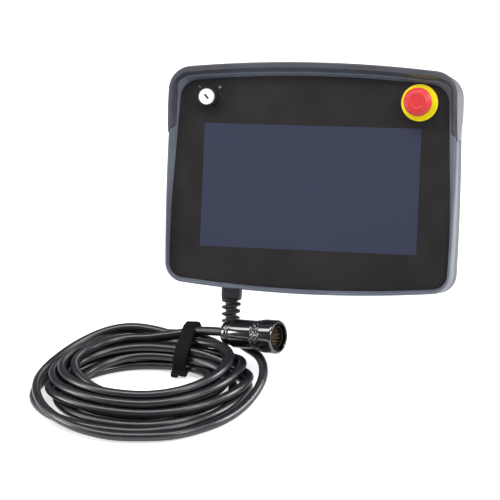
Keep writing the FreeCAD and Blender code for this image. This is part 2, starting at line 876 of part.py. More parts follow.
def heat_sink():
    """Finned sink on the processor."""
    level = BOARD_BACK - dim.chip_height - dim.sink_height
    centre = (sized(0), -dim.board_drop)
    body = slab("heat_sink", centre, dim.sink_side, dim.sink_side, level, dim.sink_height)
    gap = dim.fin_pitch - dim.fin_width
    groove = new_sketch(body, "fin_groove", "XZ_Plane", level)
    count = int((dim.sink_side.number - dim.fin_width.number) // dim.fin_pitch.number)
    start = -(dim.fin_pitch * (count - 1) / 2)
    for index in range(count):
        place = (start + dim.fin_pitch * index, centre[1])
        add_rectangle(groove, place, gap, dim.sink_side + dim.cut_spare * 2)
    pocket(body, groove, dim.sink_height - dim.sink_base, forward=True)
    return lean(body)


def housing_gasket():
    """Seal between the bezel and the rear housing."""
    body = new_body("housing_gasket")
    outer = outline_sketch(body, "gasket_outline", HOUSING_FRONT, dim.gasket_inset)
    pad(body, outer, dim.gasket_thickness)
    inner = outline_sketch(body, "gasket_inner", dim.parting_depth, dim.gasket_inset + dim.gasket_width)
    pocket(body, inner, dim.gasket_thickness)
    return lean(body)


def rear_housing():
    """Moulded rear shell: straight walls, a tapered back, screw posts, insert bosses and openings."""
    body = new_body("rear_housing")
    straight = HOUSING_FRONT - dim.taper_depth
    pad(body, outline_sketch(body, "housing_outline", dim.taper_depth, 0), straight)
    loft(body, "housing_taper", "AdditiveLoft", [
        outline_sketch(body, "taper_wide", dim.taper_depth, 0),
        outline_sketch(body, "taper_narrow", 0, dim.rear_inset),
    ])
    bevel(body, "rear_chamfer", dim.rear_bevel, at_depth(0))
    inner = outline_sketch(body, "housing_hollow", HOUSING_FRONT, dim.housing_wall)
    pocket(body, inner, straight)
    slope = dim.rear_inset / dim.taper_depth
    loft(body, "taper_hollow", "SubtractiveLoft", [
        outline_sketch(body, "hollow_wide", dim.taper_depth, dim.housing_wall),
        outline_sketch(body, "hollow_narrow", dim.rear_wall,
                       dim.housing_wall + slope * (dim.taper_depth - dim.rear_wall)),
    ])
    group_pad(body, "screw_posts", SCREWS, dim.post_diameter, dim.rear_wall,
              dim.parting_depth - dim.rear_wall, draw=add_even_polygon)
    group_pad(body, "insert_bosses", INSERTS, dim.insert_boss_diameter, dim.rear_wall,
              dim.insert_boss_height, draw=add_even_polygon)
    boss = new_sketch(body, "gland_boss", "XY_Plane", -GLAND_SEAT)
    gland = (-dim.gland_x, -dim.gland_depth)
    add_rectangle(boss, gland, dim.gland_boss_width, dim.gland_boss_thickness)
    pad(body, boss, dim.gland_boss_height)
    head = dim.screw_head_diameter + dim.screw_gap * 2
    group_cut(body, "head_pockets", SCREWS, head, 0, dim.head_pocket_depth,
              forward=True, draw=add_even_polygon)
    group_cut(body, "screw_holes", SCREWS, dim.screw_diameter + dim.screw_gap, 0, dim.parting_depth,
              forward=True, draw=add_even_polygon)
    seats = new_sketch(body, "insert_seats", "XZ_Plane", 0)
    for place in INSERTS:
        add_even_polygon(seats, place, dim.insert_diameter, sides=6)
    pocket(body, seats, dim.insert_length, forward=True)
    rectangle_cut(body, "enable_opening", ENABLE, dim.enable_width + dim.fit_gap * 2,
                  dim.enable_height + dim.fit_gap * 2, 0, dim.rear_wall + dim.cut_spare, forward=True)
    bore = new_sketch(body, "cable_bore", "XY_Plane", -GLAND_SEAT)
    add_circle(bore, gland, dim.cable_hole)
    pocket(body, bore, dim.gland_boss_height + dim.cut_spare, forward=True)
    return lean(body)


def mount_inserts():
    """Hexagon inserts moulded into the housing, each with a threaded bore."""
    body = new_body("mount_inserts")
    sketch = new_sketch(body, "inserts", "XZ_Plane", 0)
    for place in INSERTS:
        add_even_polygon(sketch, place, dim.insert_diameter, sides=6)
        add_circle(sketch, place, dim.insert_bore)
    pad(body, sketch, dim.insert_length)
    return lean(body)


def device_nuts():
    """Hexagon nuts that hold both devices against the back of the front plate."""
    body = new_body("device_nuts")
    sketch = new_sketch(body, "nut_outlines", "XZ_Plane", PLATE_BACK - dim.nut_height)
    for place in (ESTOP, KEY):
        add_even_polygon(sketch, place, dim.nut_flats * HEXAGON_SPREAD, sides=6)
        add_circle(sketch, place, dim.device_barrel + dim.nut_gap * 2)
    pad(body, sketch, dim.nut_height)
    return lean(body)


def estop_legend_ring():
    hole = dim.device_hole / 2
    edge = dim.legend_diameter / 2
    body = turned("estop_legend_ring", [
        (hole, OVERLAY_FRONT),
        (edge, OVERLAY_FRONT),
        (edge, LEGEND_TOP),
        (hole, LEGEND_TOP),
    ])
    return lean(body, *ESTOP)


ESTOP_NECK_TOP = LEGEND_TOP + dim.estop_neck_height
ESTOP_STEP = OVERLAY_FRONT - dim.collar_step
STEM_TOP = ESTOP_NECK_TOP + dim.estop_travel + dim.estop_stop_gap
STEM_FLANGE = ESTOP_STEP - dim.stem_gap * 2


def estop_collar():
    """Neck on the ring and a barrel through the front, bored for the stem and its spring."""
    middle = [(sized(0), sized(0))]
    body = new_body("estop_collar")
    group_pad(body, "collar_neck", middle, dim.estop_neck_diameter, LEGEND_TOP, dim.estop_neck_height)
    group_pad(body, "collar_barrel", middle, dim.device_barrel, dim.device_block_depth,
              LEGEND_TOP - dim.device_block_depth, draw=add_even_polygon)
    group_cut(body, "collar_well", middle, dim.stem_flange_diameter + dim.stem_flange_gap * 2,
              dim.device_block_depth, ESTOP_STEP - dim.device_block_depth,
              forward=True, draw=add_even_polygon)
    group_cut(body, "collar_bore", middle, dim.stem_diameter + dim.stem_gap * 2, ESTOP_NECK_TOP,
              ESTOP_NECK_TOP - ESTOP_STEP, draw=add_even_polygon)
    return lean(body, *ESTOP)


def estop_stem():
    """Plunger with a flange that the spring holds against the collar's step."""
    middle = [(sized(0), sized(0))]
    tail = dim.device_block_depth - dim.stem_tail
    body = new_body("estop_stem")
    group_pad(body, "stem_rod", middle, dim.stem_diameter, tail, STEM_TOP - tail, draw=add_even_polygon)
    group_pad(body, "stem_flange", middle, dim.stem_flange_diameter,
              STEM_FLANGE - dim.stem_flange_height, dim.stem_flange_height, draw=add_even_polygon)
    return lean(body, *ESTOP)


def estop_spring():
    """Return spring under the stem's flange, drawn as the eight-sided sleeve that its turns fill."""
    middle = (dim.stem_diameter + dim.stem_flange_diameter + dim.stem_flange_gap * 2) / 2
    body = new_body("estop_spring")
    sketch = new_sketch(body, "spring_section", "XZ_Plane", dim.device_block_depth)
    add_even_polygon(sketch, (sized(0), sized(0)), middle + dim.spring_wire)
    add_even_polygon(sketch, (sized(0), sized(0)), middle)
    pad(body, sketch, STEM_FLANGE - dim.stem_flange_height - dim.device_block_depth)
    return lean(body, *ESTOP)


def estop_head():
    """Mushroom head: hollow skirt, wide band and a dome with a flat top."""
    inside = dim.estop_neck_diameter / 2 + dim.estop_skirt_gap
    skirt = inside + dim.estop_skirt
    wide = dim.estop_head_diameter / 2
    low = ESTOP_NECK_TOP - dim.estop_skirt_cover
    band = LEGEND_TOP + dim.estop_head_rise - dim.estop_head_band
    shoulder = band + dim.estop_head_band * 2
    peak = shoulder + dim.estop_dome
    body = turned("estop_head", [
        (0, STEM_TOP),
        (inside, STEM_TOP),
        (inside, low),
        (skirt, low),
        (skirt, band),
        (wide, band),
        (wide, shoulder),
        (dim.estop_disc_diameter / 2, peak),
        (0, peak),
    ])
    return lean(body, *ESTOP)


def contact_block(label, place, depth, bore, bore_depth):
    """Contact block behind a device, bored for its plunger or cam."""
    middle = (sized(0), sized(0))
    body = slab(label, middle, dim.device_block_side, dim.device_block_side,
                dim.device_block_depth - depth, depth)
    rectangle_cut(body, label + "_bore", middle, bore, bore, dim.device_block_depth, bore_depth)
    return lean(body, *place)


def estop_contact_block():
    bore = dim.stem_diameter + dim.stem_flange_gap * 2
    return contact_block("estop_contact_block", ESTOP, dim.contact_depth, bore,
                         dim.stem_tail + dim.estop_travel + dim.estop_stop_gap * 2)


KEY_COLLAR_TOP = OVERLAY_FRONT + dim.key_collar_height
KEY_FACE = OVERLAY_FRONT + dim.key_face_height
KEY_SHAFT_END = dim.device_block_depth


def key_collar():
    """Black collar under the key barrel's face, with a barrel through the front."""
    middle = [(sized(0), sized(0))]
    body = new_body("key_collar")
    group_pad(body, "key_collar_disc", middle, dim.key_collar_diameter, OVERLAY_FRONT,
              dim.key_collar_height)
    group_pad(body, "key_collar_barrel", middle, dim.device_barrel, dim.device_block_depth,
              OVERLAY_FRONT - dim.device_block_depth, draw=add_even_polygon)
    group_cut(body, "key_collar_bore", middle, dim.key_shaft_diameter + dim.stem_gap * 2,
              KEY_COLLAR_TOP, KEY_COLLAR_TOP - dim.device_block_depth)
    return lean(body, *KEY)


def key_barrel():
    """Turning key barrel with its slot."""
    middle = [(sized(0), sized(0))]
    under = KEY_COLLAR_TOP + dim.key_face_gap
    body = new_body("key_barrel")
    group_pad(body, "key_face", middle, dim.key_face_diameter, under, KEY_FACE - under)
    group_pad(body, "key_shaft", middle, dim.key_shaft_diameter, KEY_SHAFT_END, under - KEY_SHAFT_END,
              draw=add_even_polygon)
    slot = new_sketch(body, "key_slot", "XZ_Plane", KEY_FACE)
    way = (cosine(dim.key_slot_angle), sine(dim.key_slot_angle))
    half_length = dim.key_slot_length / 2
    half_width = dim.key_slot_width / 2
    add_polygon(slot, [
        (way[0] * half_length * end + way[1] * half_width * side,
         way[1] * half_length * end - way[0] * half_width * side)
        for end, side in ((1, 1), (1, -1), (-1, -1), (-1, 1))
    ])
    pocket(body, slot, dim.key_slot_depth)
    return lean(body, *KEY)


def key_cam():
    """Cam on the barrel's inner end, with the lobe that works the contacts."""
    body = new_body("key_cam")
    level = KEY_SHAFT_END - dim.cam_length
    group_pad(body, "cam_disc", [(sized(0), sized(0))], dim.cam_diameter, level, dim.cam_length,
              draw=add_even_polygon)
    lobe = new_sketch(body, "cam_lobe_outline", "XZ_Plane", level)
    add_rectangle(lobe, (dim.cam_lobe / 2, sized(0)), dim.cam_lobe, dim.cam_lobe_width)
    pad(body, lobe, dim.cam_length)
    return lean(body, *KEY)


def key_switch_body():
    bore = (dim.cam_lobe + dim.cam_gap) * 2
    return contact_block("key_switch_body", KEY, dim.key_block_depth, bore,
                         dim.cam_length + dim.cam_gap)


def enable_switch_body():
    """Switch case through the rear wall, with an outer flange and a well for the button."""
    body = slab("enable_switch_body", ENABLE, dim.enable_width, dim.enable_height, 0,
                dim.enable_block_depth)
    flange = new_sketch(body, "enable_flange_outline", "XZ_Plane", -dim.enable_flange_height)
    spread = dim.enable_flange * 2
    add_rectangle(flange, ENABLE, dim.enable_width + spread, dim.enable_height + spread)
    pad(body, flange, dim.enable_flange_height)
    wall = dim.enable_wall * 2
    floor = dim.button_foot + dim.enable_travel + dim.enable_well_spare
    rectangle_cut(body, "enable_well", ENABLE, dim.enable_width - wall, dim.enable_height - wall,
                  -dim.enable_flange_height, dim.enable_flange_height + floor, forward=True)
    return lean(body)


def enable_switch_button():
    """Three-position button, pressed towards the panel."""
    shrink = (dim.enable_wall + dim.button_gap) * 2
    crest = dim.enable_flange_height + dim.button_rise
    body = slab("enable_switch_button", ENABLE, dim.enable_width - shrink, dim.enable_height - shrink,
                -crest, crest + dim.button_foot)
    bevel(body, "button_chamfer", dim.button_bevel, at_depth(-crest))
    return lean(body)


def cable_gland():
    """Block under the housing that clamps the cable."""
    body = new_body("cable_gland")
    sketch = new_sketch(body, "gland_outline", "XY_Plane", -GLAND_SEAT)
    add_rectangle(sketch, (-dim.gland_x, -dim.gland_depth), dim.gland_width, dim.gland_thickness)
    pad(body, sketch, dim.gland_length, backward=True)
    bevel(body, "gland_chamfer_edges", dim.gland_chamfer, at_height(-GLAND_SEAT - dim.gland_length))
    return lean(body)


def bend_relief():
    """Tapered sleeve with ribs round it, so that it bends with the cable."""
    body = new_body("bend_relief")
    middle = (sized(0), sized(0))
    slope = sine(dim.relief_taper) / cosine(dim.relief_taper) * 2
    root_sketch = new_sketch(body, "relief_core", "XY_Plane")
    add_even_polygon(root_sketch, middle, dim.relief_root_diameter - dim.relief_groove_depth * 2)
    core = pad(body, root_sketch, dim.relief_length, backward=True)
    bind(core, "TaperAngle", -dim.relief_taper)
    pitch = dim.relief_rib + dim.relief_groove
    count = int((dim.relief_length.number + dim.relief_groove.number) // pitch.number)
    for index in range(count):
        below = pitch * index
        rib = new_sketch(body, f"relief_rib_{index}", "XY_Plane", -below)
        add_even_polygon(rib, middle, dim.relief_root_diameter - slope * below, sides=RIB_SIDES)
        pad(body, rib, dim.relief_rib, backward=True)
    doc.recompute()
    angle = dim.lean_angle
    below = GLAND_SEAT + dim.gland_length
    lean(body, -dim.gland_x)
    bind(body, "Placement.Base.y", -(below * sine(angle)) - dim.gland_depth * cosine(angle))
    bind(body, "Placement.Base.z", dim.gland_depth * sine(angle) - below * cosine(angle))
    return body


def relief_tip():
    """Where the cable leaves the bend relief, and the way it points there."""
    tilt = FreeCAD.Rotation(FreeCAD.Vector(1, 0, 0), -dim.lean_angle.number)
    below = GLAND_SEAT + dim.gland_length + dim.relief_length
    tip = FreeCAD.Vector(-dim.gland_x.number, -dim.gland_depth.number, -below.number)
    return tilt.multVec(tip), tilt.multVec(FreeCAD.Vector(0, 0, -1))


def connector_way():
    """Rear middle of the connector and the way its front points."""
    turning = FreeCAD.Rotation(FreeCAD.Vector(0, 0, 1), dim.plug_turn.number)
    tilt = FreeCAD.Rotation(FreeCAD.Vector(1, 0, 0), -dim.plug_rise.number)
    rear = FreeCAD.Vector(-dim.plug_x.number, -dim.plug_y.number, -dim.plug_drop.number)
    return rear, turning.multiply(tilt).multVec(FreeCAD.Vector(0, -1, 0))


def rounded_path(points):
    """Straight runs joined by tangent arcs, each as large as its two runs allow."""
    edges = []
    radii = []
    start = points[0]
    for before, corner, after in zip(points, points[1:], points[2:]):
        trim = BEND_SHARE * min((corner - before).Length, (after - corner).Length)
        into = (corner - before).normalize()
        out = (after - corner).normalize()
        half_turn = into.getAngle(out) / 2
        radius = trim / math.tan(half_turn)
        bulge = radius * (1 / math.cos(half_turn) - 1)
        middle = corner + (out - into).normalize() * bulge
        edges.append(Part.LineSegment(start, corner - into * trim).toShape())
        start = corner + out * trim
        edges.append(Part.Arc(corner - into * trim, middle, start).toShape())
        radii.append(round(radius, 1))
    edges.append(Part.LineSegment(start, points[-1]).toShape())
    return Part.Wire(edges), radii


def tube(label, points):
    """Cable along a route of chosen points, six-sided to keep its faces few."""
    path, radii = rounded_path(points)
    radius = dim.cable_diameter.number / 2
    way = points[1] - points[0]
    side = way.cross(FreeCAD.Vector(0, 0, 1)).normalize() * radius
    turns = [FreeCAD.Rotation(way, 360 * step / TUBE_SIDES) for step in range(TUBE_SIDES + 1)]
    section = Part.makePolygon([turning.multVec(side) + points[0] for turning in turns])
    shape = path.makePipeShell([section], True, True)
    ratio = shape.Volume / (Part.Face(section).Area * path.Length)
    print(label, "bend radii", radii, "length", round(path.Length, 1), "volume ratio", round(ratio, 4))
    feature = register(doc.addObject("Part::Feature", label), label)
    feature.Shape = shape
    return feature


def cable_lead():
    """From the bend relief over the coil's back, down its right side and into its outer turn."""
    tip, way = relief_tip()
    chosen = [
        (-76.8, -79.6, -150.7),
        (-64.5, -92.5, -149.5),
        (-47.5, -105.5, -150.3),
        (-34.5, -135, -161.5),
        (-41, -167, -172.8),
        (-52, -190.5, -175),
        (-68, -216.5, -175.4),
    ]
    points = [FreeCAD.Vector(*point) for point in chosen]
    return tube("cable_lead", [tip, tip + way * LEAD_EXIT_RUN] + points)


def cable_tail():
    """From the coil's upper turn through the tie and straight into the connector."""
    rear, way = connector_way()
    chosen = [
        (-126, -78, -142),
        (-143, -71.5, -147),
        (-160, -68, -153),
        (-177, -67, -159.5),
    ]
    points = [FreeCAD.Vector(*point) for point in chosen]
    return tube("cable_tail", [rear, rear - way * TAIL_EXIT_RUN] + points)


def ellipse_sketch(body, name, height, centre, major, minor):
    """Flat many-sided ellipse, wide along X."""
    sketch = new_sketch(body, name, "XY_Plane", height)
    angles = [2 * math.pi * step / COIL_SIDES for step in range(COIL_SIDES)]
    add_polygon(sketch, [
        (centre[0] + major * math.cos(angle), centre[1] + minor * math.sin(angle))
        for angle in angles
    ])
    return sketch


def cable_coil():
    """Outer shape of the tied coil: a ring whose upper turns are set back."""
    body = new_body("cable_coil")
    floor = -dim.floor_drop
    top = floor + dim.coil_height
    loft(body, "coil_bulk", "AdditiveLoft", [
        ellipse_sketch(body, "coil_foot", floor, (-dim.coil_foot_x, -dim.coil_foot_y),
                       dim.coil_foot_major, dim.coil_foot_minor),
        ellipse_sketch(body, "coil_top", top, (-dim.coil_top_x, -dim.coil_top_y),
                       dim.coil_foot_major * dim.coil_top_shrink, dim.coil_foot_minor * dim.coil_top_shrink),
    ])
    loft(body, "coil_hole", "SubtractiveLoft", [
        ellipse_sketch(body, "hole_foot", floor, (-dim.coil_hole_x, -dim.coil_hole_foot_y),
                       dim.coil_hole_major, dim.coil_hole_minor),
        ellipse_sketch(body, "hole_top", top, (-dim.coil_hole_x, -dim.coil_hole_top_y),
                       dim.coil_hole_major, dim.coil_hole_minor),
    ])
    return body


def cable_tie():
    """Hook and loop strap round the back of the coil: two eight-sided halves drawn apart."""
    body = new_body("cable_tie")
    sketch = new_sketch(body, "tie_outline", "YZ_Plane", -dim.tie_x - dim.tie_width / 2)
    low = (-dim.tie_low_y, dim.tie_low_rise - dim.floor_drop)
    high = (-dim.tie_high_y, dim.tie_high_rise - dim.floor_drop)
    across = flat(high) - flat(low)
    slant = math.atan2(across.y, across.x)
    steps = [-math.pi / 2, -math.pi / 6, math.pi / 6, math.pi / 2]
    for radius in (dim.tie_radius, dim.tie_radius - dim.tie_thickness):
        add_polygon(sketch, [
            (end[0] + radius * math.cos(facing + step), end[1] + radius * math.sin(facing + step))
            for end, facing in ((high, slant), (low, slant + math.pi))
            for step in steps
        ])
    pad(body, sketch, dim.tie_width)
    return body


def connector_rear_nut():
    """Clamp nut that grips the cable behind the connector."""
    body = new_body("connector_rear_nut")
    sketch = new_sketch(body, "rear_nut_outline", "XZ_Plane", 0)
    add_even_polygon(sketch, (sized(0), sized(0)), dim.plug_nut_diameter, sides=12)
    pad(body, sketch, dim.plug_nut_length)
    bevel(body, "rear_nut_chamfer", dim.plug_nut_slope, at_depth(0))
    return aim(body)


RING_BACK = dim.plug_barrel_end + dim.ring_gap
RING_STEP = dim.plug_barrel_end + dim.ring_band_length


def connector_barrel():
    """Barrel with the sleeve round the insert."""
    barrel = dim.plug_barrel_diameter / 2
    sleeve = dim.plug_sleeve_diameter / 2
    inside = sleeve - dim.plug_sleeve_wall
    floor = dim.plug_length - dim.insert_setback - dim.insert_depth
    front = dim.plug_length - dim.plug_sleeve_setback
    return aim(turned("connector_barrel", [
        (0, dim.plug_nut_length),
        (barrel, dim.plug_nut_length),
        (barrel, dim.plug_barrel_end),
        (sleeve, dim.plug_barrel_end),
        (sleeve, front),
        (inside, front),
        (inside, floor),
        (0, floor),
    ]))


def coupling_ring():
    """Ring that turns on the sleeve to lock the connector: a gripped band and a wide mouth."""
    inside = dim.plug_sleeve_diameter / 2 + dim.ring_gap
    band = dim.ring_band_diameter / 2
    rim = dim.ring_diameter / 2
    mouth = dim.ring_mouth_diameter / 2
    return aim(turned("coupling_ring", [
        (inside, RING_BACK),
        (band, RING_BACK),
        (band, RING_STEP),
        (rim, RING_STEP),
        (rim, dim.plug_length),
        (mouth, dim.plug_length),
        (mouth, RING_STEP),
        (inside, RING_STEP),
    ]))


INSERT_FACE = dim.plug_length - dim.insert_setback


def connector_insert():
    """Moulded insert that holds the pins."""
    edge = dim.plug_sleeve_diameter / 2 - dim.plug_sleeve_wall
    return aim(turned("connector_insert", [
        (0, INSERT_FACE - dim.insert_depth),
        (edge, INSERT_FACE - dim.insert_depth),
        (edge, INSERT_FACE),
        (0, INSERT_FACE),
    ]))


def connector_pins():
    """Contact pins in three rings, standing out of the insert."""
    body = new_body("connector_pins")
    for alias, count in PIN_COUNTS:
        sketch = new_sketch(body, alias + "_pin", "XZ_Plane", INSERT_FACE)
        add_even_polygon(sketch, (getattr(dim, alias), sized(0)), dim.pin_diameter, sides=4)
        first = pad(body, sketch, dim.pin_reach)
        ring = body.newObject("PartDesign::PolarPattern", alias + "_ring")
        ring.Originals = [first]
        ring.Axis = (sketch, ["N_Axis"])
        ring.Angle = 360
        ring.Occurrences = count
        body.Tip = ring
        doc.recompute()
    return aim(body)


def build():
    front_bezel()
    hood()
    front_overlay()
    touch_panel()
    display_gasket()
    lcd_module()
    mounting_plate()
    screw_group("plate_screws", EARS, SHEET_BACK, LCD_BACK + dim.plate_screw_reach)
    board_standoffs()
    main_board()
    board_chips()
    heat_sink()
    housing_gasket()
    rear_housing()
    screw_group("housing_screws", SCREWS, dim.head_pocket_depth, dim.parting_depth + dim.screw_reach)
    mount_inserts()
    estop_legend_ring()
    estop_collar()
    device_nuts()
    estop_contact_block()
    estop_spring()
    estop_stem()
    estop_head()
    key_collar()
    key_barrel()
    key_cam()
    key_switch_body()
    enable_switch_body()
    enable_switch_button()
    cable_gland()
    bend_relief()
    cable_lead()
    cable_coil()
    cable_tail()
    cable_tie()
    connector_rear_nut()
    connector_barrel()
    coupling_ring()
    connector_insert()
    connector_pins()
    doc.recompute()


def check():
    """Stop if any object failed or any piece is not a sound solid."""
    failed = [thing.Name for thing in doc.Objects if {"Invalid", "Error"} & set(thing.State)]
    if failed:
        raise RuntimeError("failed objects: " + ", ".join(failed))
    for piece in pieces:
        if piece.Shape.isNull() or not piece.Shape.isValid() or not piece.Shape.Solids:
            raise RuntimeError(piece.Label + " is not a sound solid")


def export():
    os.makedirs("parts", exist_ok=True)
    for piece in pieces:
        piece.Shape.exportStep(os.path.join("parts", piece.Label + ".step"))


build()
check()
export()
print(len(pieces), "pieces written")
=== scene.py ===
"""Looks of a handheld operator panel: casing, display, controls, coiled cable and connector.

All lengths are in metres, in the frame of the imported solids. The panel leans back, so places on
it are given across its face, up its face and forward from its rear face.
"""

import math

import bmesh
import bpy
import numpy as np
from mathutils import Matrix


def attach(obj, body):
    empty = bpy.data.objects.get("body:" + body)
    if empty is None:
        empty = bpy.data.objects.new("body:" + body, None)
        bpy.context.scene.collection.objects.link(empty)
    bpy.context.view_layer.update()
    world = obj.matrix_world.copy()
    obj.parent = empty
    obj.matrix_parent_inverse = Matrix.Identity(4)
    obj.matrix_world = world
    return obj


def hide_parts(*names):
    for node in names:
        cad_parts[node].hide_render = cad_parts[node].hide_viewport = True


bl_info = {
    "name": "Operator Panel Looks",
    "version": (1, 0, 0),
    "blender": (4, 5, 0),
    "location": "View3D > Sidebar > Operator Panel",
    "description": "Finishes a handheld touch screen operator panel around its packed solids",
    "category": "Object",
}

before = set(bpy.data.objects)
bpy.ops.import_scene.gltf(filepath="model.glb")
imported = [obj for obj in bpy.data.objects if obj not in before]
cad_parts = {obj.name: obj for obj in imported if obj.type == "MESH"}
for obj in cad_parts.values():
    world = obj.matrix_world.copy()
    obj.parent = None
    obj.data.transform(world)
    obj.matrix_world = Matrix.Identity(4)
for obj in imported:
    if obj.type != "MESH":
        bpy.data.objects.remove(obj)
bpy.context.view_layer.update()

# the panel's lean, the ways forward and up from it, and the floor's height
LEAN = math.radians(22)
PANEL_FORWARD = np.array((0, -math.cos(LEAN), math.sin(LEAN)))
PANEL_UP = np.array((0, math.sin(LEAN), math.cos(LEAN)))
FLOOR = -0.180

# depths of the panel's faces, forward from its rear face
PARTING = 0.038
OVERLAY_FRONT = 0.0535
OVERLAY_BACK = 0.0527
PLATE_BACK = 0.0502
RIM_CREST = 0.0597

# places of the controls across and up the face
STOP_PLACE = (0.1085, 0.0784)
KEY_PLACE = (-0.1075, 0.0787)

# the connector's rear middle, its turn from straight ahead and its rise
PLUG_REAR = np.array((-0.0868, -0.0915, -0.136))
PLUG_TURN = math.radians(72.1)
PLUG_RISE = math.radians(6.5)
PLUG_WAY = np.array((
    math.cos(PLUG_RISE) * math.sin(PLUG_TURN),
    -math.cos(PLUG_RISE) * math.cos(PLUG_TURN),
    math.sin(PLUG_RISE),
))

# the strap's place along X, and the ends of its middle line in Y and Z
TIE_X = -0.130
TIE_LOW = np.array((-0.100, -0.1633))
TIE_HIGH = np.array((-0.076, -0.1518))

# how far clouds and grit vary the roughness of moulded plastic
CLOUD_SHEEN = 0.12
GRIT_SHEEN = 0.1


class Value:
    """A shader value; sums with it add the Math nodes that work them out."""

    def __init__(self, finish, socket):
        self.finish = finish
        self.socket = socket

    def math(self, operation, *values):
        return self.finish.node("ShaderNodeMath", {"operation": operation}, dict(enumerate(values)))

    def __add__(self, other):
        return self.math("ADD", self, other)

    def __radd__(self, other):
        return self.math("ADD", other, self)

    def __mul__(self, other):
        return self.math("MULTIPLY", self, other)

    def __rmul__(self, other):
        return self.math("MULTIPLY", other, self)

    def eased(self, low, high):
        """Nought below one value and one above another, eased between them."""
        settings = {"interpolation_type": "SMOOTHSTEP"}
        limits = {"Value": self, "From Min": low, "From Max": high}
        return self.finish.node("ShaderNodeMapRange", settings, limits)


class Finish:
    """One material under construction, with its shader."""

    def __init__(self, name, **constants):
        self.material = bpy.data.materials.new(name)
        self.material.use_nodes = True
        self.tree = self.material.node_tree
        self.shader = self.tree.nodes["Principled BSDF"]
        for socket, value in constants.items():
            self.shader.inputs[socket.replace("_", " ")].default_value = value

    def node(self, kind, settings, values, output=0):
        """Add a node, set it up, then give its sockets their values or links."""
        made = self.tree.nodes.new(kind)
        for name, setting in settings.items():
            setattr(made, name, setting)
        for name, value in values.items():
            self.give(made.inputs[name], value)
        return Value(self, made.outputs[output])

    def give(self, socket, value):
        if isinstance(value, Value):
            self.tree.links.new(value.socket, socket)
        else:
            socket.default_value = value

    def set(self, socket, value):
        self.give(self.shader.inputs[socket], value)

    def place(self):
        return self.node("ShaderNodeTexCoord", {}, {}, "Object")

    def scaled(self, scale):
        """Object coordinates, scaled along each way."""
        return self.node("ShaderNodeMapping", {}, {"Vector": self.place(), "Scale": scale})

    def noise(self, scale, detail=2.0, rough=0.5, where=None):
        where = self.place() if where is None else where
        return self.node("ShaderNodeTexNoise", {}, {
            "Vector": where, "Scale": scale, "Detail": detail, "Roughness": rough,
        })

    def blend(self, factor, first, second):
        """Colour between two colours."""
        settings = {"data_type": "RGBA"}
        return self.node("ShaderNodeMix", settings, {0: factor, 6: rgba(first), 7: rgba(second)}, 2)

    def shades(self, factor, colour, dark, light):
        """Colour between a darker and a lighter shade of one colour."""
        return self.blend(factor, shaded(colour, dark), shaded(colour, light))

    def bump(self, height, strength, distance):
        normal = self.node("ShaderNodeBump", {}, {
            "Height": height, "Strength": strength, "Distance": distance,
        })
        self.set("Normal", normal)


def rgba(colour):
    """A colour with its alpha, or a colour socket as it is."""
    return colour if isinstance(colour, Value) else (*colour, 1.0)


def shaded(colour, factor):
    return tuple(channel * factor for channel in colour)


def moulded(name, colour, roughness, grain=2600, relief=0.00004, specular=0.5):
    """Moulded plastic: spark-eroded grain, faint clouding of colour, and sheen uneven round a mean."""
    finish = Finish(name, Specular_IOR_Level=specular)
    clouds = finish.noise(28, 3)
    grit = finish.noise(grain, 2)
    finish.set("Base Color", finish.shades(clouds.eased(0.3, 0.7), colour, 0.88, 1.12))
    mean = (CLOUD_SHEEN + GRIT_SHEEN) / 2
    finish.set("Roughness", clouds * CLOUD_SHEEN + grit * GRIT_SHEEN + (roughness - mean))
    finish.bump(grit, 0.5, relief)
    return finish.material


def stand(x, height, depth):
    """Points on the leaning panel, from across, up and forward measures."""
    x, height, depth = np.broadcast_arrays(x, height, depth)
    sine, cosine = math.sin(LEAN), math.cos(LEAN)
    return np.stack([x, height * sine - depth * cosine, height * cosine + depth * sine], axis=-1)


def surface(name, points, wrap_rows=False, wrap_columns=False, sharp=35):
    """Mesh of a grid of points, joined up along either way where asked, smooth up to an angle."""
    rows, columns = points.shape[:2]
    index = np.arange(rows * columns).reshape(rows, columns)
    if wrap_rows:
        index = np.vstack([index, index[:1]])
    if wrap_columns:
        index = np.hstack([index, index[:, :1]])
    quads = np.stack([index[:-1, :-1], index[:-1, 1:], index[1:, 1:], index[1:, :-1]], axis=-1)
    mesh = bpy.data.meshes.new(name)
    mesh.from_pydata(points.reshape(-1, 3).tolist(), [], quads.reshape(-1, 4).tolist())
    return tidied(mesh, sharp)


def tidied(mesh, sharp):
    """Merge doubles, point the faces outwards and shade smooth up to an angle in degrees."""
    work = bmesh.new()
    work.from_mesh(mesh)
    bmesh.ops.remove_doubles(work, verts=work.verts, dist=1e-6)
    bmesh.ops.recalc_face_normals(work, faces=work.faces)
    work.to_mesh(mesh)
    work.free()
    mesh.polygons.foreach_set("use_smooth", np.ones(len(mesh.polygons), bool))
    mesh.set_sharp_from_angle(angle=math.radians(sharp))
    return mesh


def put(name, mesh, body, material, stands_for=()):
    """Make a mesh a piece that rides on a body and takes the given finish."""
    piece = bpy.data.objects.new(name, mesh)
    bpy.context.scene.collection.objects.link(piece)
    mesh.materials.append(material)
    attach(piece, body)
    if stands_for:
        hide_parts(*stands_for)
    return piece


def dress(material, *nodes):
    """Give solids that stay as they are a new finish."""
    for node in nodes:
        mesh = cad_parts[node].data
        mesh.materials.clear()
        mesh.materials.append(material)


def angles(count):
    """Angles evenly round a full turn."""
    return np.linspace(0, 2 * math.pi, count, endpoint=False)


def swelled(value, power):
    """A sine or cosine pushed towards one, which squares a circle off."""
    return np.sign(value) * np.abs(value) ** power


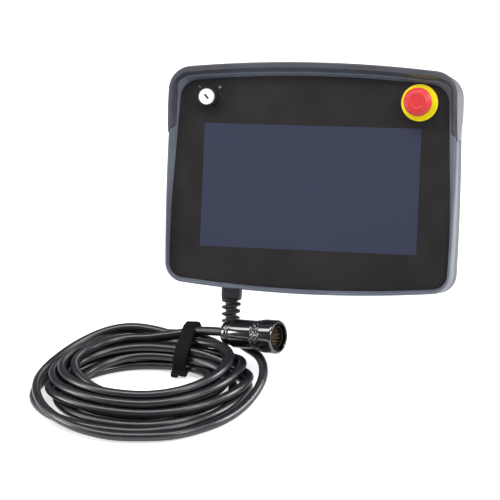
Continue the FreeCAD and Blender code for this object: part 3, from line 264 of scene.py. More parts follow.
def eased(rows, closed=False, steps=6):
    """Polyline with eased corners; a row is a corner and how far from it its curve starts and ends."""
    rows = np.asarray(rows, float)
    corners, radii = rows[:, :2], rows[:, 2]
    before = np.roll(corners, 1, axis=0)
    after = np.roll(corners, -1, axis=0)
    if not closed:
        before[0] = corners[0]
        after[-1] = corners[-1]
    ways = np.stack([before - corners, after - corners])
    runs = np.linalg.norm(ways, axis=2)
    reach = np.minimum(radii, 0.5 * np.where(runs > 0, runs, 1).min(axis=0))
    shares = np.where(runs > 0, reach / np.maximum(runs, 1e-9), 0)
    start, end = corners + ways * shares[..., None]
    part = np.linspace(0, 1, steps)[None, :, None]
    curve = (1 - part) ** 2 * start[:, None] + 2 * part * (1 - part) * corners[:, None]
    curve = curve + part ** 2 * end[:, None]
    points = curve.reshape(-1, 2)
    if not closed:
        points = points[steps - 1:len(points) - steps + 1]
    return points


def turned(profile, origin, way, upright, count):
    """Surface of a profile turned round an axis; profile rows are radius and distance along."""
    way = np.asarray(way, float)
    side = np.cross(way, upright)
    side = side / np.linalg.norm(side)
    upright = np.cross(side, way)
    angle = angles(count)[:, None, None]
    ring = np.cos(angle) * upright + np.sin(angle) * side
    radius = np.broadcast_to(profile[..., 0], (count, profile.shape[-2]))[..., None]
    along = np.broadcast_to(profile[..., 1], (count, profile.shape[-2]))[..., None]
    return np.asarray(origin) + along * way + radius * ring


def turned_on_panel(profile, place, count):
    """A turned surface that stands on the panel's face; distances along are depths."""
    return turned(np.asarray(profile), stand(place[0], place[1], 0.0), PANEL_FORWARD, PANEL_UP, count)


def turned_on_plug(profile, count):
    return turned(np.asarray(profile), PLUG_REAR, PLUG_WAY, (0, 0, 1), count)


def length(name, default, description):
    return bpy.props.FloatProperty(
        name=name, description=description, default=default, unit="LENGTH", precision=5)


def colour(name, default, description):
    return bpy.props.FloatVectorProperty(
        name=name, description=description, default=default, subtype="COLOR", size=3, min=0, max=1)


class CasingSizes(bpy.types.PropertyGroup):
    """Outline and edges of the casing."""

    half_width: length("Half width", 0.1482, "Half of the bezel's greatest width")
    crown_height: length("Crown height", 0.1075, "Height of the upper edge's middle")
    base_drop: length("Base drop", 0.1167, "Drop of the lower edge's middle")
    widest_drop: length("Widest drop", 0.0448, "Drop of the place where the casing is widest")
    crown_radius: length("Crown radius", 1.26, "Radius of the upper edge")
    base_radius: length("Base radius", 1.3, "Radius of the lower edge")
    side_radius: length("Side radius", 2.64, "Radius of the sides")
    top_corner: length("Top corner", 0.025, "Radius of the upper corners")
    bottom_corner: length("Bottom corner", 0.020, "Radius of the lower corners")
    rim_width: length("Rim width", 0.005, "Width of the raised rim")
    rim_widening: length("Rim widening", 0.0027, "How much wider the rim is at the top of the sides")
    hood_rise: length("Hood rise", 0.0080, "How far the hood stands over the crown")
    hood_half_width: length("Hood half width", 0.1474, "Half of the hood's width")
    hood_shoulder: length("Hood shoulder", 0.086, "Height where the hood's corner starts")
    hood_foot_height: length("Hood foot height", 0.0422, "Height of the hood's lower ends")
    hood_foot_x: length("Hood foot place", 0.1484, "Distance of the hood's lower ends from the middle")
    hood_front: length("Hood front", 0.0665, "Depth of the hood's front edge")
    hood_back: length("Hood back", 0.018, "Depth of the hood's rear edge")


class CableSizes(bpy.types.PropertyGroup):
    """The cable."""

    diameter: length("Diameter", 0.0092, "Outer diameter of the cable")
    points_per_quarter: bpy.props.IntProperty(
        name="Points", description="Points in each quarter of a turn", default=9, min=3)
    settling: bpy.props.IntProperty(
        name="Settling", description="Rounds in which touching turns are pushed apart", default=80, min=0)


class PanelColours(bpy.types.PropertyGroup):
    """Colours of the main finishes."""

    bezel: colour("Bezel", (0.105, 0.115, 0.145), "Moulded bezel")
    hood: colour("Hood", (0.066, 0.068, 0.080), "Moulded hood")
    housing: colour("Housing", (0.075, 0.078, 0.09), "Moulded rear housing")
    overlay: colour("Overlay", (0.0205, 0.018, 0.0185), "Printed front sheet")
    screen: colour("Screen", (0.038, 0.0435, 0.072), "Unlit display")
    legend: colour("Legend", (0.95, 0.80, 0.006), "Ring round the stop button")
    stop: colour("Stop", (0.60, 0.036, 0.037), "Stop button")
    cable: colour("Cable", (0.004, 0.0045, 0.0065), "Cable sheath")
    relief: colour("Relief", (0.050, 0.053, 0.058), "Gland and bend relief")
    connector: colour("Connector", (0.003, 0.003, 0.0035), "Black plating")
    pins: colour("Pins", (0.62, 0.43, 0.24), "Contact pins")


class OutlinePath:
    """Points round the casing's outline: four wide arcs joined by four corner arcs."""

    WIDE_STEPS = 44
    CORNER_STEPS = 26

    def __init__(self, sizes):
        side_x = sizes.half_width - sizes.side_radius
        wide = np.array((
            (side_x, -sizes.widest_drop),
            (0, sizes.crown_height - sizes.crown_radius),
            (-side_x, -sizes.widest_drop),
            (0, sizes.base_radius - sizes.base_drop),
        ))
        radii = np.array((sizes.side_radius, sizes.crown_radius, sizes.side_radius, sizes.base_radius))
        bends = np.array((sizes.top_corner, sizes.top_corner, sizes.bottom_corner, sizes.bottom_corner))
        ways = np.array(((1, 1), (-1, 1), (-1, -1), (1, -1)))
        corners = self.crossings(wide, radii - bends, np.roll(radii, -1) - bends, ways)
        leave = np.arctan2(*(corners - wide).T[::-1])
        enter = np.arctan2(*(np.roll(corners, 1, axis=0) - wide).T[::-1])
        leave = np.where(leave < enter, leave + 2 * math.pi, leave)
        turn = (np.roll(enter, -1) - leave) % (2 * math.pi)
        wide_part = np.linspace(0, 1, self.WIDE_STEPS, endpoint=False)
        corner_part = np.linspace(0, 1, self.CORNER_STEPS, endpoint=False)
        wide_angle = enter[:, None] + (leave - enter)[:, None] * wide_part
        corner_angle = leave[:, None] + turn[:, None] * corner_part
        self.angle = np.hstack([wide_angle, corner_angle]).ravel()
        steps = (self.WIDE_STEPS, self.CORNER_STEPS)
        self.radius = np.repeat(np.stack([radii, bends], axis=1).ravel(), steps * 4)
        self.centre = np.repeat(np.stack([wide, corners], axis=1).reshape(-1, 2), steps * 4, axis=0)

    @staticmethod
    def crossings(centre, reach, next_reach, ways):
        """Where circles round each centre and the next one cross, on the side of each way."""
        across = np.roll(centre, -1, axis=0) - centre
        gap = np.linalg.norm(across, axis=1)
        along = (reach ** 2 - next_reach ** 2 + gap ** 2) / (2 * gap)
        rise = np.sqrt(reach ** 2 - along ** 2)
        unit = across / gap[:, None]
        normal = np.stack([-unit[:, 1], unit[:, 0]], axis=1)
        base = centre + unit * along[:, None]
        side = np.sign((normal * ways).sum(axis=1))
        return base + normal * (rise * side)[:, None]

    def heights(self):
        return self.centre[:, 1:] + (self.radius * np.sin(self.angle))[:, None]

    def carried(self, inset, depth):
        """Surface of a profile carried round the outline, by insets from it and depths."""
        reach = self.radius[:, None] - inset
        x = self.centre[:, :1] + reach * np.cos(self.angle)[:, None]
        height = self.centre[:, 1:] + reach * np.sin(self.angle)[:, None]
        return stand(x, height, np.broadcast_to(depth, x.shape))


def smooth(value, low, high):
    """Nought to one between two values, with level ends."""
    share = np.clip((value - low) / (high - low), 0, 1)
    return share * share * (3 - 2 * share)


class PANEL_OT_bezel(bpy.types.Operator):
    """Front bezel: a raised rim that slopes in to the front sheet, carried round the outline"""

    bl_idname = "panel.bezel"
    bl_label = "Bezel"

    PLATE_REACH = 0.012
    WALL = 0.0032
    CHAMFER = 0.0026
    CREST_START = 0.0010
    CREST_WIDTH = 0.0024
    LIP = 0.0543
    LIP_SLOPE = 0.0003
    # easing of the corners that lie hidden
    SHARP = 0.0001
    # heights between which the rim widens along the sides
    WIDENS = (-0.06, 0.06)
    # how far the side walls lean out at the display's middle, and more for each metre up
    FLARE = 0.0006
    FLARE_RISE = 0.0234

    def section(self, sizes):
        """Closed section: inset from the outline, depth and easing of each corner."""
        return eased((
            (0, PARTING, 0.0004),
            (0, RIM_CREST - self.CHAMFER, 0.0014),
            (self.CREST_START, RIM_CREST, 0.0009),
            (self.CREST_WIDTH, RIM_CREST, 0.0012),
            (sizes.rim_width - self.LIP_SLOPE, self.LIP, 0.0005),
            (sizes.rim_width, OVERLAY_BACK, 0.0002),
            (self.PLATE_REACH, OVERLAY_BACK, self.SHARP),
            (self.PLATE_REACH, PLATE_BACK, self.SHARP),
            (self.WALL, PLATE_BACK, self.SHARP),
            (self.WALL, PARTING, self.SHARP),
        ), closed=True, steps=9)

    def execute(self, context):
        sizes = context.scene.casing_sizes
        inset, depth = self.section(sizes).T
        path = OutlinePath(sizes)
        height = path.heights()
        sideways = np.abs(np.cos(path.angle))[:, None]
        within = np.clip((inset - self.CREST_WIDTH) / (sizes.rim_width - self.CREST_WIDTH), 0, 1)
        forward = np.clip((depth - PARTING) / (RIM_CREST - PARTING), 0, 1) * (1 - within)
        widened = sizes.rim_widening * smooth(height, *self.WIDENS) * sideways * within
        leaning = (self.FLARE + self.FLARE_RISE * height) * sideways * forward
        points = path.carried(inset + widened - leaning, depth)
        mesh = surface("bezel", points, wrap_rows=True, wrap_columns=True)
        material = moulded("bezel plastic", context.scene.panel_colours.bezel, 0.34)
        put("bezel", mesh, "panel", material, stands_for=["front_bezel"])
        return {"FINISHED"}


class PANEL_OT_hood(bpy.types.Operator):
    """Hood: a guard that stands forward over the upper edge and runs out down both sides"""

    bl_idname = "panel.hood"
    bl_label = "Hood"

    STEPS = 30
    RISE = 0.034
    FOOT = 0.009
    SEAT = 0.0572
    FACE_SIDE = 0.0035
    FACE_TOP = 0.0055
    INSIDE_SIDE = 0.0034
    INSIDE_TOP = 0.0039
    INSIDE_FOOT = 0.0004
    CLEAR = 0.0003
    # at the feet: shares of the front's rise, of the back's way to the parting and of the face's width
    FRONT_SHARE = 0.3
    BACK_SHARE = 0.7
    FACE_SHARE = 0.45
    # across (seat 0, face 1, outer edge 2), forward (seat 0, front 1, back -1) and easing
    SECTION = (
        (0, -0.12, 0.02), (0, 0, 0.05), (1, 1, 0.2), (2, 1, 0.24), (2, -1, 0.06), (1, -1, 0.02),
    )

    def arc(self, centre, radius, start, end):
        angle = np.linspace(start, end, self.STEPS)
        return np.stack([centre[0] + radius * np.cos(angle), centre[1] + radius * np.sin(angle)], axis=1)

    def edge(self, sizes):
        """Points along the hood's outer edge from the right foot to the left, and its inward ways."""
        crown = np.array((0, sizes.crown_height - sizes.crown_radius))
        foot = np.array((sizes.hood_foot_x, sizes.hood_foot_height))
        shoulder = np.array((sizes.hood_half_width, sizes.hood_shoulder))
        reach = sizes.crown_radius + sizes.hood_rise
        leg = (shoulder - foot) / np.linalg.norm(shoulder - foot)
        inward = np.array((-leg[1], leg[0]))
        offset = shoulder - crown
        bend = (reach ** 2 - offset @ offset) / (2 * (offset @ inward + reach))
        middle = shoulder + inward * bend
        start = math.atan2(*(-inward)[::-1])
        end = math.atan2(*(middle - crown)[::-1])
        part = np.linspace(0, 1, self.STEPS)[:, None]
        bent = self.arc(middle, bend, start, end)
        crowned = self.arc(crown, reach, end, math.pi / 2)
        half = np.vstack([foot + (shoulder - foot) * part, bent[1:], crowned[1:]])
        points = np.vstack([half, half[-2::-1] * np.array((-1, 1))])
        run = np.gradient(points, axis=0)
        run = run / np.linalg.norm(run, axis=1)[:, None]
        return points, np.stack([-run[:, 1], run[:, 0]], axis=1)

    def execute(self, context):
        """Section set off inwards from the outer edge, carried from foot to foot."""
        sizes = context.scene.casing_sizes
        edge, inward = self.edge(sizes)
        count = len(edge)
        from_foot = np.minimum(np.arange(count), np.arange(count)[::-1])[:, None]
        crown = smooth(from_foot, self.STEPS, 2 * self.STEPS)
        over_foot = edge[:, 1:] - sizes.hood_foot_height
        rise = smooth(over_foot, 0, self.FOOT)
        full = smooth(over_foot, 0, self.RISE)
        lifted = rise * (self.FRONT_SHARE + (1 - self.FRONT_SHARE) * full)
        front = RIM_CREST + self.CLEAR + (sizes.hood_front - RIM_CREST) * lifted
        back = sizes.hood_back + (PARTING - sizes.hood_back) * (1 - full) * self.BACK_SHARE
        face = self.FACE_SIDE + (self.FACE_TOP - self.FACE_SIDE) * crown
        face = face * (self.FACE_SHARE + (1 - self.FACE_SHARE) * rise)
        inside = self.INSIDE_SIDE + (self.INSIDE_TOP - self.INSIDE_SIDE) * crown
        inside = inside * rise + self.INSIDE_FOOT
        across, forward = eased(self.SECTION, closed=True, steps=8).T
        inset = inside * np.clip(1 - across, 0, 1) + face * np.clip(2 - across, 0, 1)
        depth = self.SEAT + np.where(forward > 0, front - self.SEAT, self.SEAT - back) * forward
        rows = stand(edge[:, :1] + inward[:, :1] * inset, edge[:, 1:] + inward[:, 1:] * inset, depth)
        ends = [np.broadcast_to(rows[end].mean(axis=0), rows[end].shape)[None] for end in (0, -1)]
        mesh = surface("hood_cap", np.vstack([ends[0], rows, ends[1]]), wrap_columns=True)
        material = moulded("hood plastic", context.scene.panel_colours.hood, 0.3)
        put("hood_cap", mesh, "panel", material, stands_for=["hood"])
        return {"FINISHED"}


class PANEL_OT_stop_button(bpy.types.Operator):
    """Stop button: a mushroom head with stepped rings on a bare yellow ring whose outer edge has painted
    near-black shade
    """

    bl_idname = "panel.stop_button"
    bl_label = "Stop button"

    SIDES = 128
    RING_TOP = 0.0551
    RING_HOLE = 0.0082
    RING_EDGE = 0.0192
    # radius where the painted shade at the ring's outer edge is full, and the width over which it eases in
    RING_PAINTED_SHADE = 0.0184
    PAINTED_SHADE_BLUR = 0.0002
    NECK_INSIDE = 0.0106
    NECK = 0.0116
    SKIRT_FOOT = 0.0605
    WIDE = 0.01405
    BAND = 0.0665
    PEAK = 0.0726

    def execute(self, context):
        colours = context.scene.panel_colours
        mesh = surface("stop_head", turned_on_panel(self.head(), STOP_PLACE, self.SIDES), wrap_rows=True)
        red = self.head_finish(colours)
        put("stop_head", mesh, "estop_button", red, stands_for=["estop_head"])
        mesh = surface("stop_ring", turned_on_panel(self.ring(), STOP_PLACE, self.SIDES), wrap_rows=True)
        yellow = self.ring_finish(colours)
        put("stop_ring", mesh, "panel", yellow, stands_for=["estop_legend_ring"])
        dress(moulded("collar black", (0.02, 0.02, 0.02), 0.35), "estop_collar", "key_collar")
        return {"FINISHED"}

    def head(self):
        """Radius, depth and easing of the head's corners, from inside its skirt to its dished middle."""
        return eased((
            (0.0, self.BAND, 0),
            (self.NECK_INSIDE, self.BAND, 0.0003),
            (self.NECK_INSIDE, self.SKIRT_FOOT, 0.0003),
            (self.NECK, self.SKIRT_FOOT, 0.0003),
            (self.NECK, self.BAND - 0.001, 0.0012),
            (self.WIDE, self.BAND, 0.0008),
            (self.WIDE, self.BAND + 0.0026, 0.0018),
            (0.0108, self.PEAK - 0.0011, 0.0009),
            (0.0096, self.PEAK - 0.0009, 0.0004),
            (0.0091, self.PEAK - 0.0002, 0.0004),
            (0.0066, self.PEAK, 0.0005),
            (0.0060, self.PEAK - 0.0006, 0.0003),
            (0.0, self.PEAK - 0.0004, 0),
        ))

    def ring(self):
        """Radius, depth and easing of the corners of the flat ring under the head."""
        return eased((
            (self.RING_HOLE, OVERLAY_FRONT, 0),
            (self.RING_EDGE, OVERLAY_FRONT, 0.0001),
            (self.RING_EDGE, self.RING_TOP, 0.0005),
            (self.RING_HOLE, self.RING_TOP, 0.0001),
            (self.RING_HOLE, OVERLAY_FRONT, 0),
        ))

    def head_finish(self, colours):
        """Red plastic with a faint cloud in its colour and sheen."""
        finish = Finish("stop red", Specular_IOR_Level=0.45)
        clouds = finish.noise(90, 3)
        finish.set("Base Color", finish.shades(clouds, colours.stop, 0.92, 1.08))
        finish.set("Roughness", clouds * 0.12 + 0.3)
        finish.bump(finish.noise(3200), 0.3, 0.00003)
        return finish.material

    def ring_finish(self, colours):
        """Yellow with a painted near-black shade along the outer edge, by distance from the button's middle.
        """
        finish = Finish("legend yellow", Specular_IOR_Level=0.4)
        middle = stand(*STOP_PLACE, self.RING_TOP)
        offset = finish.node("ShaderNodeVectorMath", {"operation": "DISTANCE"}, {
            0: finish.place(), 1: tuple(middle),
        }, "Value")
        # painted shade: the ring's outer edge turns near-black
        edge = offset.eased(self.RING_PAINTED_SHADE - self.PAINTED_SHADE_BLUR, self.RING_PAINTED_SHADE)
        clouds = finish.noise(120, 3)
        yellow = finish.shades(clouds, colours.legend, 0.94, 1.05)
        finish.set("Base Color", finish.blend(edge, yellow, (0.012, 0.012, 0.012)))
        finish.set("Roughness", clouds * 0.1 + 0.36)
        finish.bump(finish.noise(2800), 0.3, 0.00003)
        return finish.material


class PANEL_OT_key_switch(bpy.types.Operator):
    """Key switch: bright barrel face with a near-black sheet of painted shade for its keyway, and two
    printed marks on the front sheet
    """

    bl_idname = "panel.key_switch"
    bl_label = "Key switch"

    # name, angle from the right, length and width
    MARKS = (("key_mark_line", 135, 0.0032, 0.0009), ("key_mark_dot", 45, 0.0030, 0.0022))
    KEYWAY = ("keyway", 130, 0.0064, 0.0019)
    MARK_REACH = 0.0150
    MARK_LIFT = 0.00004
    MARK_SIDES = 48
    MARK_RINGS = 5
    SQUARENESS = 0.6
    FACE = 0.0655

    def execute(self, context):
        metal = Finish("key metal", Metallic=0.3)
        brushed = metal.noise(900, 3, where=metal.scaled((1, 6, 1)))
        metal.set("Base Color", metal.blend(brushed, (0.90, 0.90, 0.93), (0.96, 0.96, 0.98)))
        metal.set("Roughness", brushed * 0.14 + 0.3)
        metal.bump(brushed, 0.15, 0.00003)
        dress(metal.material, "key_barrel")
        ink = Finish("white ink", Roughness=0.5)
        speck = ink.noise(1500)
        ink.set("Base Color", ink.blend(speck, (0.16, 0.16, 0.16), (0.30, 0.30, 0.30)))
        for shape in self.MARKS:
            self.mark(shape, self.MARK_REACH, OVERLAY_FRONT, "panel", ink.material)
        # painted shade: a flat near-black sheet on the key's face stands in for the dark keyway slot
        keyway = moulded("keyway painted shade", (0.004, 0.004, 0.004), 0.6, specular=0.1)
        self.mark(self.KEYWAY, 0.0, self.FACE, "key_rotor", keyway)
        return {"FINISHED"}

    def mark(self, shape, reach, depth, body, material):
        """Flat superellipse that points away from the key's middle, on the sheet or on the key."""
        name, angle, long, wide = shape
        turn = math.radians(angle)
        spread = angles(self.MARK_SIDES)[:, None]
        share = np.linspace(0, 1, self.MARK_RINGS)[None, :]
        along = share * long / 2 * swelled(np.cos(spread), self.SQUARENESS)
        across = share * wide / 2 * swelled(np.sin(spread), self.SQUARENESS)
        x = KEY_PLACE[0] + (reach + along) * math.cos(turn) - across * math.sin(turn)
        height = KEY_PLACE[1] + (reach + along) * math.sin(turn) + across * math.cos(turn)
        mesh = surface(name, stand(x, height, depth + self.MARK_LIFT), wrap_rows=True)
        put(name, mesh, body, material)


class PANEL_OT_front(bpy.types.Operator):
    """Front sheet and display glass"""

    bl_idname = "panel.front"
    bl_label = "Front sheet and display"

    def execute(self, context):
        colours = context.scene.panel_colours
        sheet = moulded("front sheet", colours.overlay, 0.42, grain=4200, relief=0.00002, specular=0.2)
        dress(sheet, "front_overlay")
        glass = Finish("display glass", Specular_IOR_Level=0.25, Coat_Roughness=0.08)
        clouds = glass.noise(9, 2)
        glass.set("Base Color", glass.shades(clouds, colours.screen, 0.95, 1.05))
        glass.set("Roughness", clouds * 0.04 + 0.18)
        dress(glass.material, "touch_panel")
        return {"FINISHED"}


class PANEL_OT_housing(bpy.types.Operator):
    """Rear housing, its switch and the pieces inside"""

    bl_idname = "panel.housing"
    bl_label = "Housing and inner pieces"

    # name, colour, roughness and nodes of each finish
    PLASTICS = (
        ("switch black", (0.016, 0.016, 0.017), 0.4, ("enable_switch_body", "key_switch_body")),
        ("button grey", (0.16, 0.16, 0.17), 0.5, ("enable_switch_button",)),
        ("nut plastic", (0.03, 0.03, 0.03), 0.55, ("device_nuts",)),
        ("contact plastic", (0.2, 0.2, 0.2), 0.5, ("estop_contact_block", "estop_stem", "key_cam")),
        ("gasket rubber", (0.018, 0.018, 0.018), 0.7, ("housing_gasket", "display_gasket")),
        ("chip black", (0.02, 0.02, 0.02), 0.45, ("board_chips",)),
        ("board green", (0.02, 0.14, 0.05), 0.35, ("main_board",)),
    )
    METALS = (
        ("sheet steel", (0.55, 0.55, 0.54), 0.35, ("mounting_plate", "lcd_module", "heat_sink")),
        ("screw steel", (0.42, 0.42, 0.43), 0.3, ("housing_screws", "plate_screws", "estop_spring")),
        ("brass", (0.72, 0.5, 0.22), 0.3, ("mount_inserts", "board_standoffs")),
    )

    def execute(self, context):
        dress(moulded("housing plastic", context.scene.panel_colours.housing, 0.46), "rear_housing")
        for name, tone, roughness, nodes in self.PLASTICS:
            dress(moulded(name, tone, roughness), *nodes)
        for name, tone, roughness, nodes in self.METALS:
            dress(self.metal(name, tone, roughness), *nodes)
        return {"FINISHED"}

    def metal(self, name, colour, roughness):
        """Drawn metal: streaks along X in its sheen."""
        finish = Finish(name, Metallic=1.0)
        streaks = finish.noise(700, 3, where=finish.scaled((0.08, 1, 1)))
        finish.set("Base Color", finish.shades(streaks, colour, 0.85, 1.1))
        finish.set("Roughness", streaks * 0.2 + (roughness - 0.1))
        finish.bump(streaks, 0.2, 0.00003)
        return finish.material


class PANEL_OT_relief(bpy.types.Operator):
    """Cable gland and bend relief: a tapered block, then ribs that wind round a core"""

    bl_idname = "panel.relief"
    bl_label = "Gland and bend relief"

    X = -0.0860
    DEPTH = 0.013
    GLAND_TOP = -0.1130
    TOP = -0.1270
    LENGTH = 0.0261
    PITCH = 0.0071
    ROOT = 0.0102
    TIP = 0.0092
    CORE_ROOT = 0.0062
    CORE_TIP = 0.0050
    RIB_SHARE = 0.12
    RIB_EDGE = 5
    # the full root fades out over one part in so many of the length
    ROOT_FADE = 14
    STEPS = 240
    SIDES = 72
    BLOCK_SIDES = 96
    BLOCK_HALF_WIDTH = 0.0100
    BLOCK_HALF_DEPTH = 0.0070
    BLOCK_SQUARENESS = 0.3
    # share of the block's full width, and drop from its top
    BLOCK = (
        (0, 0), (0.9, 0), (0.96, 0.0003), (1.0, 0.001), (1.0, 0.004), (1.0, 0.007),
        (0.98, 0.0115), (0.94, 0.0138), (0.88, 0.0146), (0, 0.0146),
    )

    def execute(self, context):
        material = moulded("relief rubber", context.scene.panel_colours.relief, 0.55)
        mesh = surface("relief_spiral", self.spiral(), wrap_rows=True, sharp=60)
        put("relief_spiral", mesh, "panel", material, stands_for=["bend_relief"])
        mesh = surface("gland_block", self.block(), wrap_rows=True, sharp=40)
        put("gland_block", mesh, "panel", material, stands_for=["cable_gland"])
        return {"FINISHED"}

    def spiral(self):
        """Radius between a core and an outer cone, by a wave that turns once round in each pitch."""
        along = np.linspace(0, 1, self.STEPS)[None, :]
        angle = angles(self.SIDES)[:, None]
        wave = np.cos(2 * math.pi * along * self.LENGTH / self.PITCH - angle)
        rib = 1 / (1 + np.exp(-self.RIB_EDGE * (wave - self.RIB_SHARE)))
        rib = np.maximum(rib, np.clip(1 - along * self.ROOT_FADE, 0, 1))
        outer = self.ROOT + (self.TIP - self.ROOT) * along
        core = self.CORE_ROOT + (self.CORE_TIP - self.CORE_ROOT) * along
        radius = (core + (outer - core) * rib) * ((along > 0) & (along < 1))
        profile = np.stack([radius, np.broadcast_to(along * self.LENGTH, radius.shape)], axis=-1)
        top = stand(self.X, self.TOP, self.DEPTH)
        return turned(profile, top, -PANEL_UP, PANEL_FORWARD, self.SIDES)

    def block(self):
        """Rounded rectangle carried down the panel, drawn in towards its foot."""
        angle = angles(self.BLOCK_SIDES)[:, None]
        share, drop = np.array(self.BLOCK).T[:, None]
        across = swelled(np.cos(angle), self.BLOCK_SQUARENESS) * self.BLOCK_HALF_WIDTH * share
        forward = swelled(np.sin(angle), self.BLOCK_SQUARENESS) * self.BLOCK_HALF_DEPTH * share
        return stand(self.X + across, self.GLAND_TOP - drop, self.DEPTH + forward)


class PANEL_OT_connector(bpy.types.Operator):
    """Connector: plated nut and barrel, a coupling ring with a dimpled grip, and the pin insert"""

    bl_idname = "panel.connector"
    bl_label = "Connector"

    SIDES = 220
    NUT_END = 0.0130
    BARREL = 0.0148
    BARREL_END = 0.0402
    SLEEVE = 0.0108
    SLEEVE_INSIDE = 0.0098
    SLEEVE_FRONT = 0.0645
    INSERT_BACK = 0.0560
    GRIP_START = 0.0412
    GRIP_END = 0.0492
    GRIP_FOOT = 0.0151
    GRIP_TOP = 0.0166
    GRIP_ROWS = 3
    GRIP_COUNT = 22
    GRIP_DEPTH = 0.0006
    GRIP_STEPS = 40
    BOWL_STEEPNESS = 5
    RING = 0.0171
    RING_INSIDE = 0.0112
    RING_BACK = 0.0404
    RING_FRONT = 0.0665
    MOUTH = 0.0142

    def execute(self, context):
        colours = context.scene.panel_colours
        plating = Finish(
            "black plating", Specular_IOR_Level=0.9, Coat_Weight=0.7, Coat_Roughness=0.05, Coat_IOR=1.7)
        wear = plating.noise(260, 4, 0.6)
        plating.set("Base Color", plating.shades(wear, colours.connector, 0.7, 1.4))
        plating.set("Roughness", wear * 0.06 + 0.09)
        black = plating.material
        self.turn("plug_nut", self.nut(), "panel", "connector_chrome", black, "connector_rear_nut")
        self.turn("plug_barrel", self.barrel(), "panel", "connector_chrome", black, "connector_barrel")
        self.turn("plug_ring", self.ring(), "coupling", "ring_chrome", black, "coupling_ring")
        dull = moulded("insert black", (0.012, 0.011, 0.011), 0.5, specular=0.2)
        self.turn("plug_sleeve", self.sleeve(), "panel", "insert_black", dull)
        dress(dull, "connector_insert")
        gold = Finish("pin gold", Metallic=1.0)
        tone = gold.noise(800)
        gold.set("Base Color", gold.shades(tone, colours.pins, 0.85, 1.1))
        gold.set("Roughness", tone * 0.1 + 0.42)
        dress(gold.material, "connector_pins")
        return {"FINISHED"}

    def turn(self, name, profile, body, slot, material, *stands_for):
        mesh = surface(name, turned_on_plug(profile, self.SIDES), wrap_rows=True, sharp=40)
        put(name, mesh, body, material, stands_for=stands_for)

    # the profiles below are the radius, distance from the rear and easing of each corner
    def nut(self):
        """Rounded nut with a groove and a narrow bead before the barrel."""
        return eased((
            (0.0, 0.0, 0), (0.0085, 0.0, 0.0014), (0.0128, 0.0034, 0.0028), (0.0130, 0.0084, 0.0005),
            (0.0122, 0.0090, 0.0002), (0.0122, 0.0097, 0.0002), (0.0131, 0.0101, 0.0004),
            (0.0131, 0.0122, 0.0005), (0.0124, self.NUT_END, 0.0003), (0.0, self.NUT_END, 0),
        ))

    def barrel(self):
        """Plain barrel, shouldered at both ends."""
        return eased((
            (0.0, self.NUT_END, 0), (0.0132, self.NUT_END, 0.0003), (self.BARREL, 0.0139, 0.0006),
            (self.BARREL, 0.0394, 0.0006), (0.0140, self.BARREL_END, 0.0003), (0.0, self.BARREL_END, 0),
        ))

    def sleeve(self):
        """Thin sleeve round the insert, inside the coupling ring."""
        return eased((
            (self.SLEEVE_INSIDE, self.INSERT_BACK, 0), (self.SLEEVE, self.INSERT_BACK, 0.0001),
            (self.SLEEVE, self.SLEEVE_FRONT, 0.0003), (self.SLEEVE_INSIDE, self.SLEEVE_FRONT, 0.0003),
            (self.SLEEVE_INSIDE, self.INSERT_BACK, 0),
        ))

    def ring(self):
        """Ring profile for each angle, with staggered bowls pressed into its sloping grip."""
        grip = np.stack([
            np.linspace(self.GRIP_FOOT, self.GRIP_TOP, self.GRIP_STEPS),
            np.linspace(self.GRIP_START, self.GRIP_END, self.GRIP_STEPS),
        ], axis=1)
        back = eased((
            (self.RING_INSIDE, self.INSERT_BACK, 0), (self.RING_INSIDE, self.RING_BACK, 0.0003),
            (self.GRIP_FOOT - 0.0003, self.RING_BACK, 0.0006), (*grip[0], 0),
        ))
        front = eased((
            (*grip[-1], 0), (self.GRIP_TOP - 0.0002, 0.0499, 0.0002), (self.RING - 0.0004, 0.0503, 0.0002),
            (self.RING, 0.0512, 0.0004), (self.RING, self.RING_FRONT - 0.0016, 0.0010),
            (self.RING - 0.0014, self.RING_FRONT, 0.0008), (self.MOUTH + 0.0006, self.RING_FRONT, 0.0003),
            (self.MOUTH, self.RING_FRONT - 0.0008, 0.0003), (self.MOUTH, self.INSERT_BACK, 0.0003),
            (self.RING_INSIDE, self.INSERT_BACK, 0),
        ))
        radius, along = np.vstack([back[:-1], grip, front[1:]]).T
        angle = np.linspace(0, 1, self.SIDES, endpoint=False)[:, None] * self.GRIP_COUNT
        row = (along - self.GRIP_START) / (self.GRIP_END - self.GRIP_START) * self.GRIP_ROWS
        across = (angle + 0.5 * (np.floor(row) % 2)) % 1 - 0.5
        down = row % 1 - 0.5
        bowl = np.clip(1 - (across ** 2 + down ** 2) * self.BOWL_STEEPNESS, 0, 1)
        bowl = bowl * ((row > 0) & (row < self.GRIP_ROWS))
        return np.stack(np.broadcast_arrays(radius - self.GRIP_DEPTH * bowl, along), axis=-1)


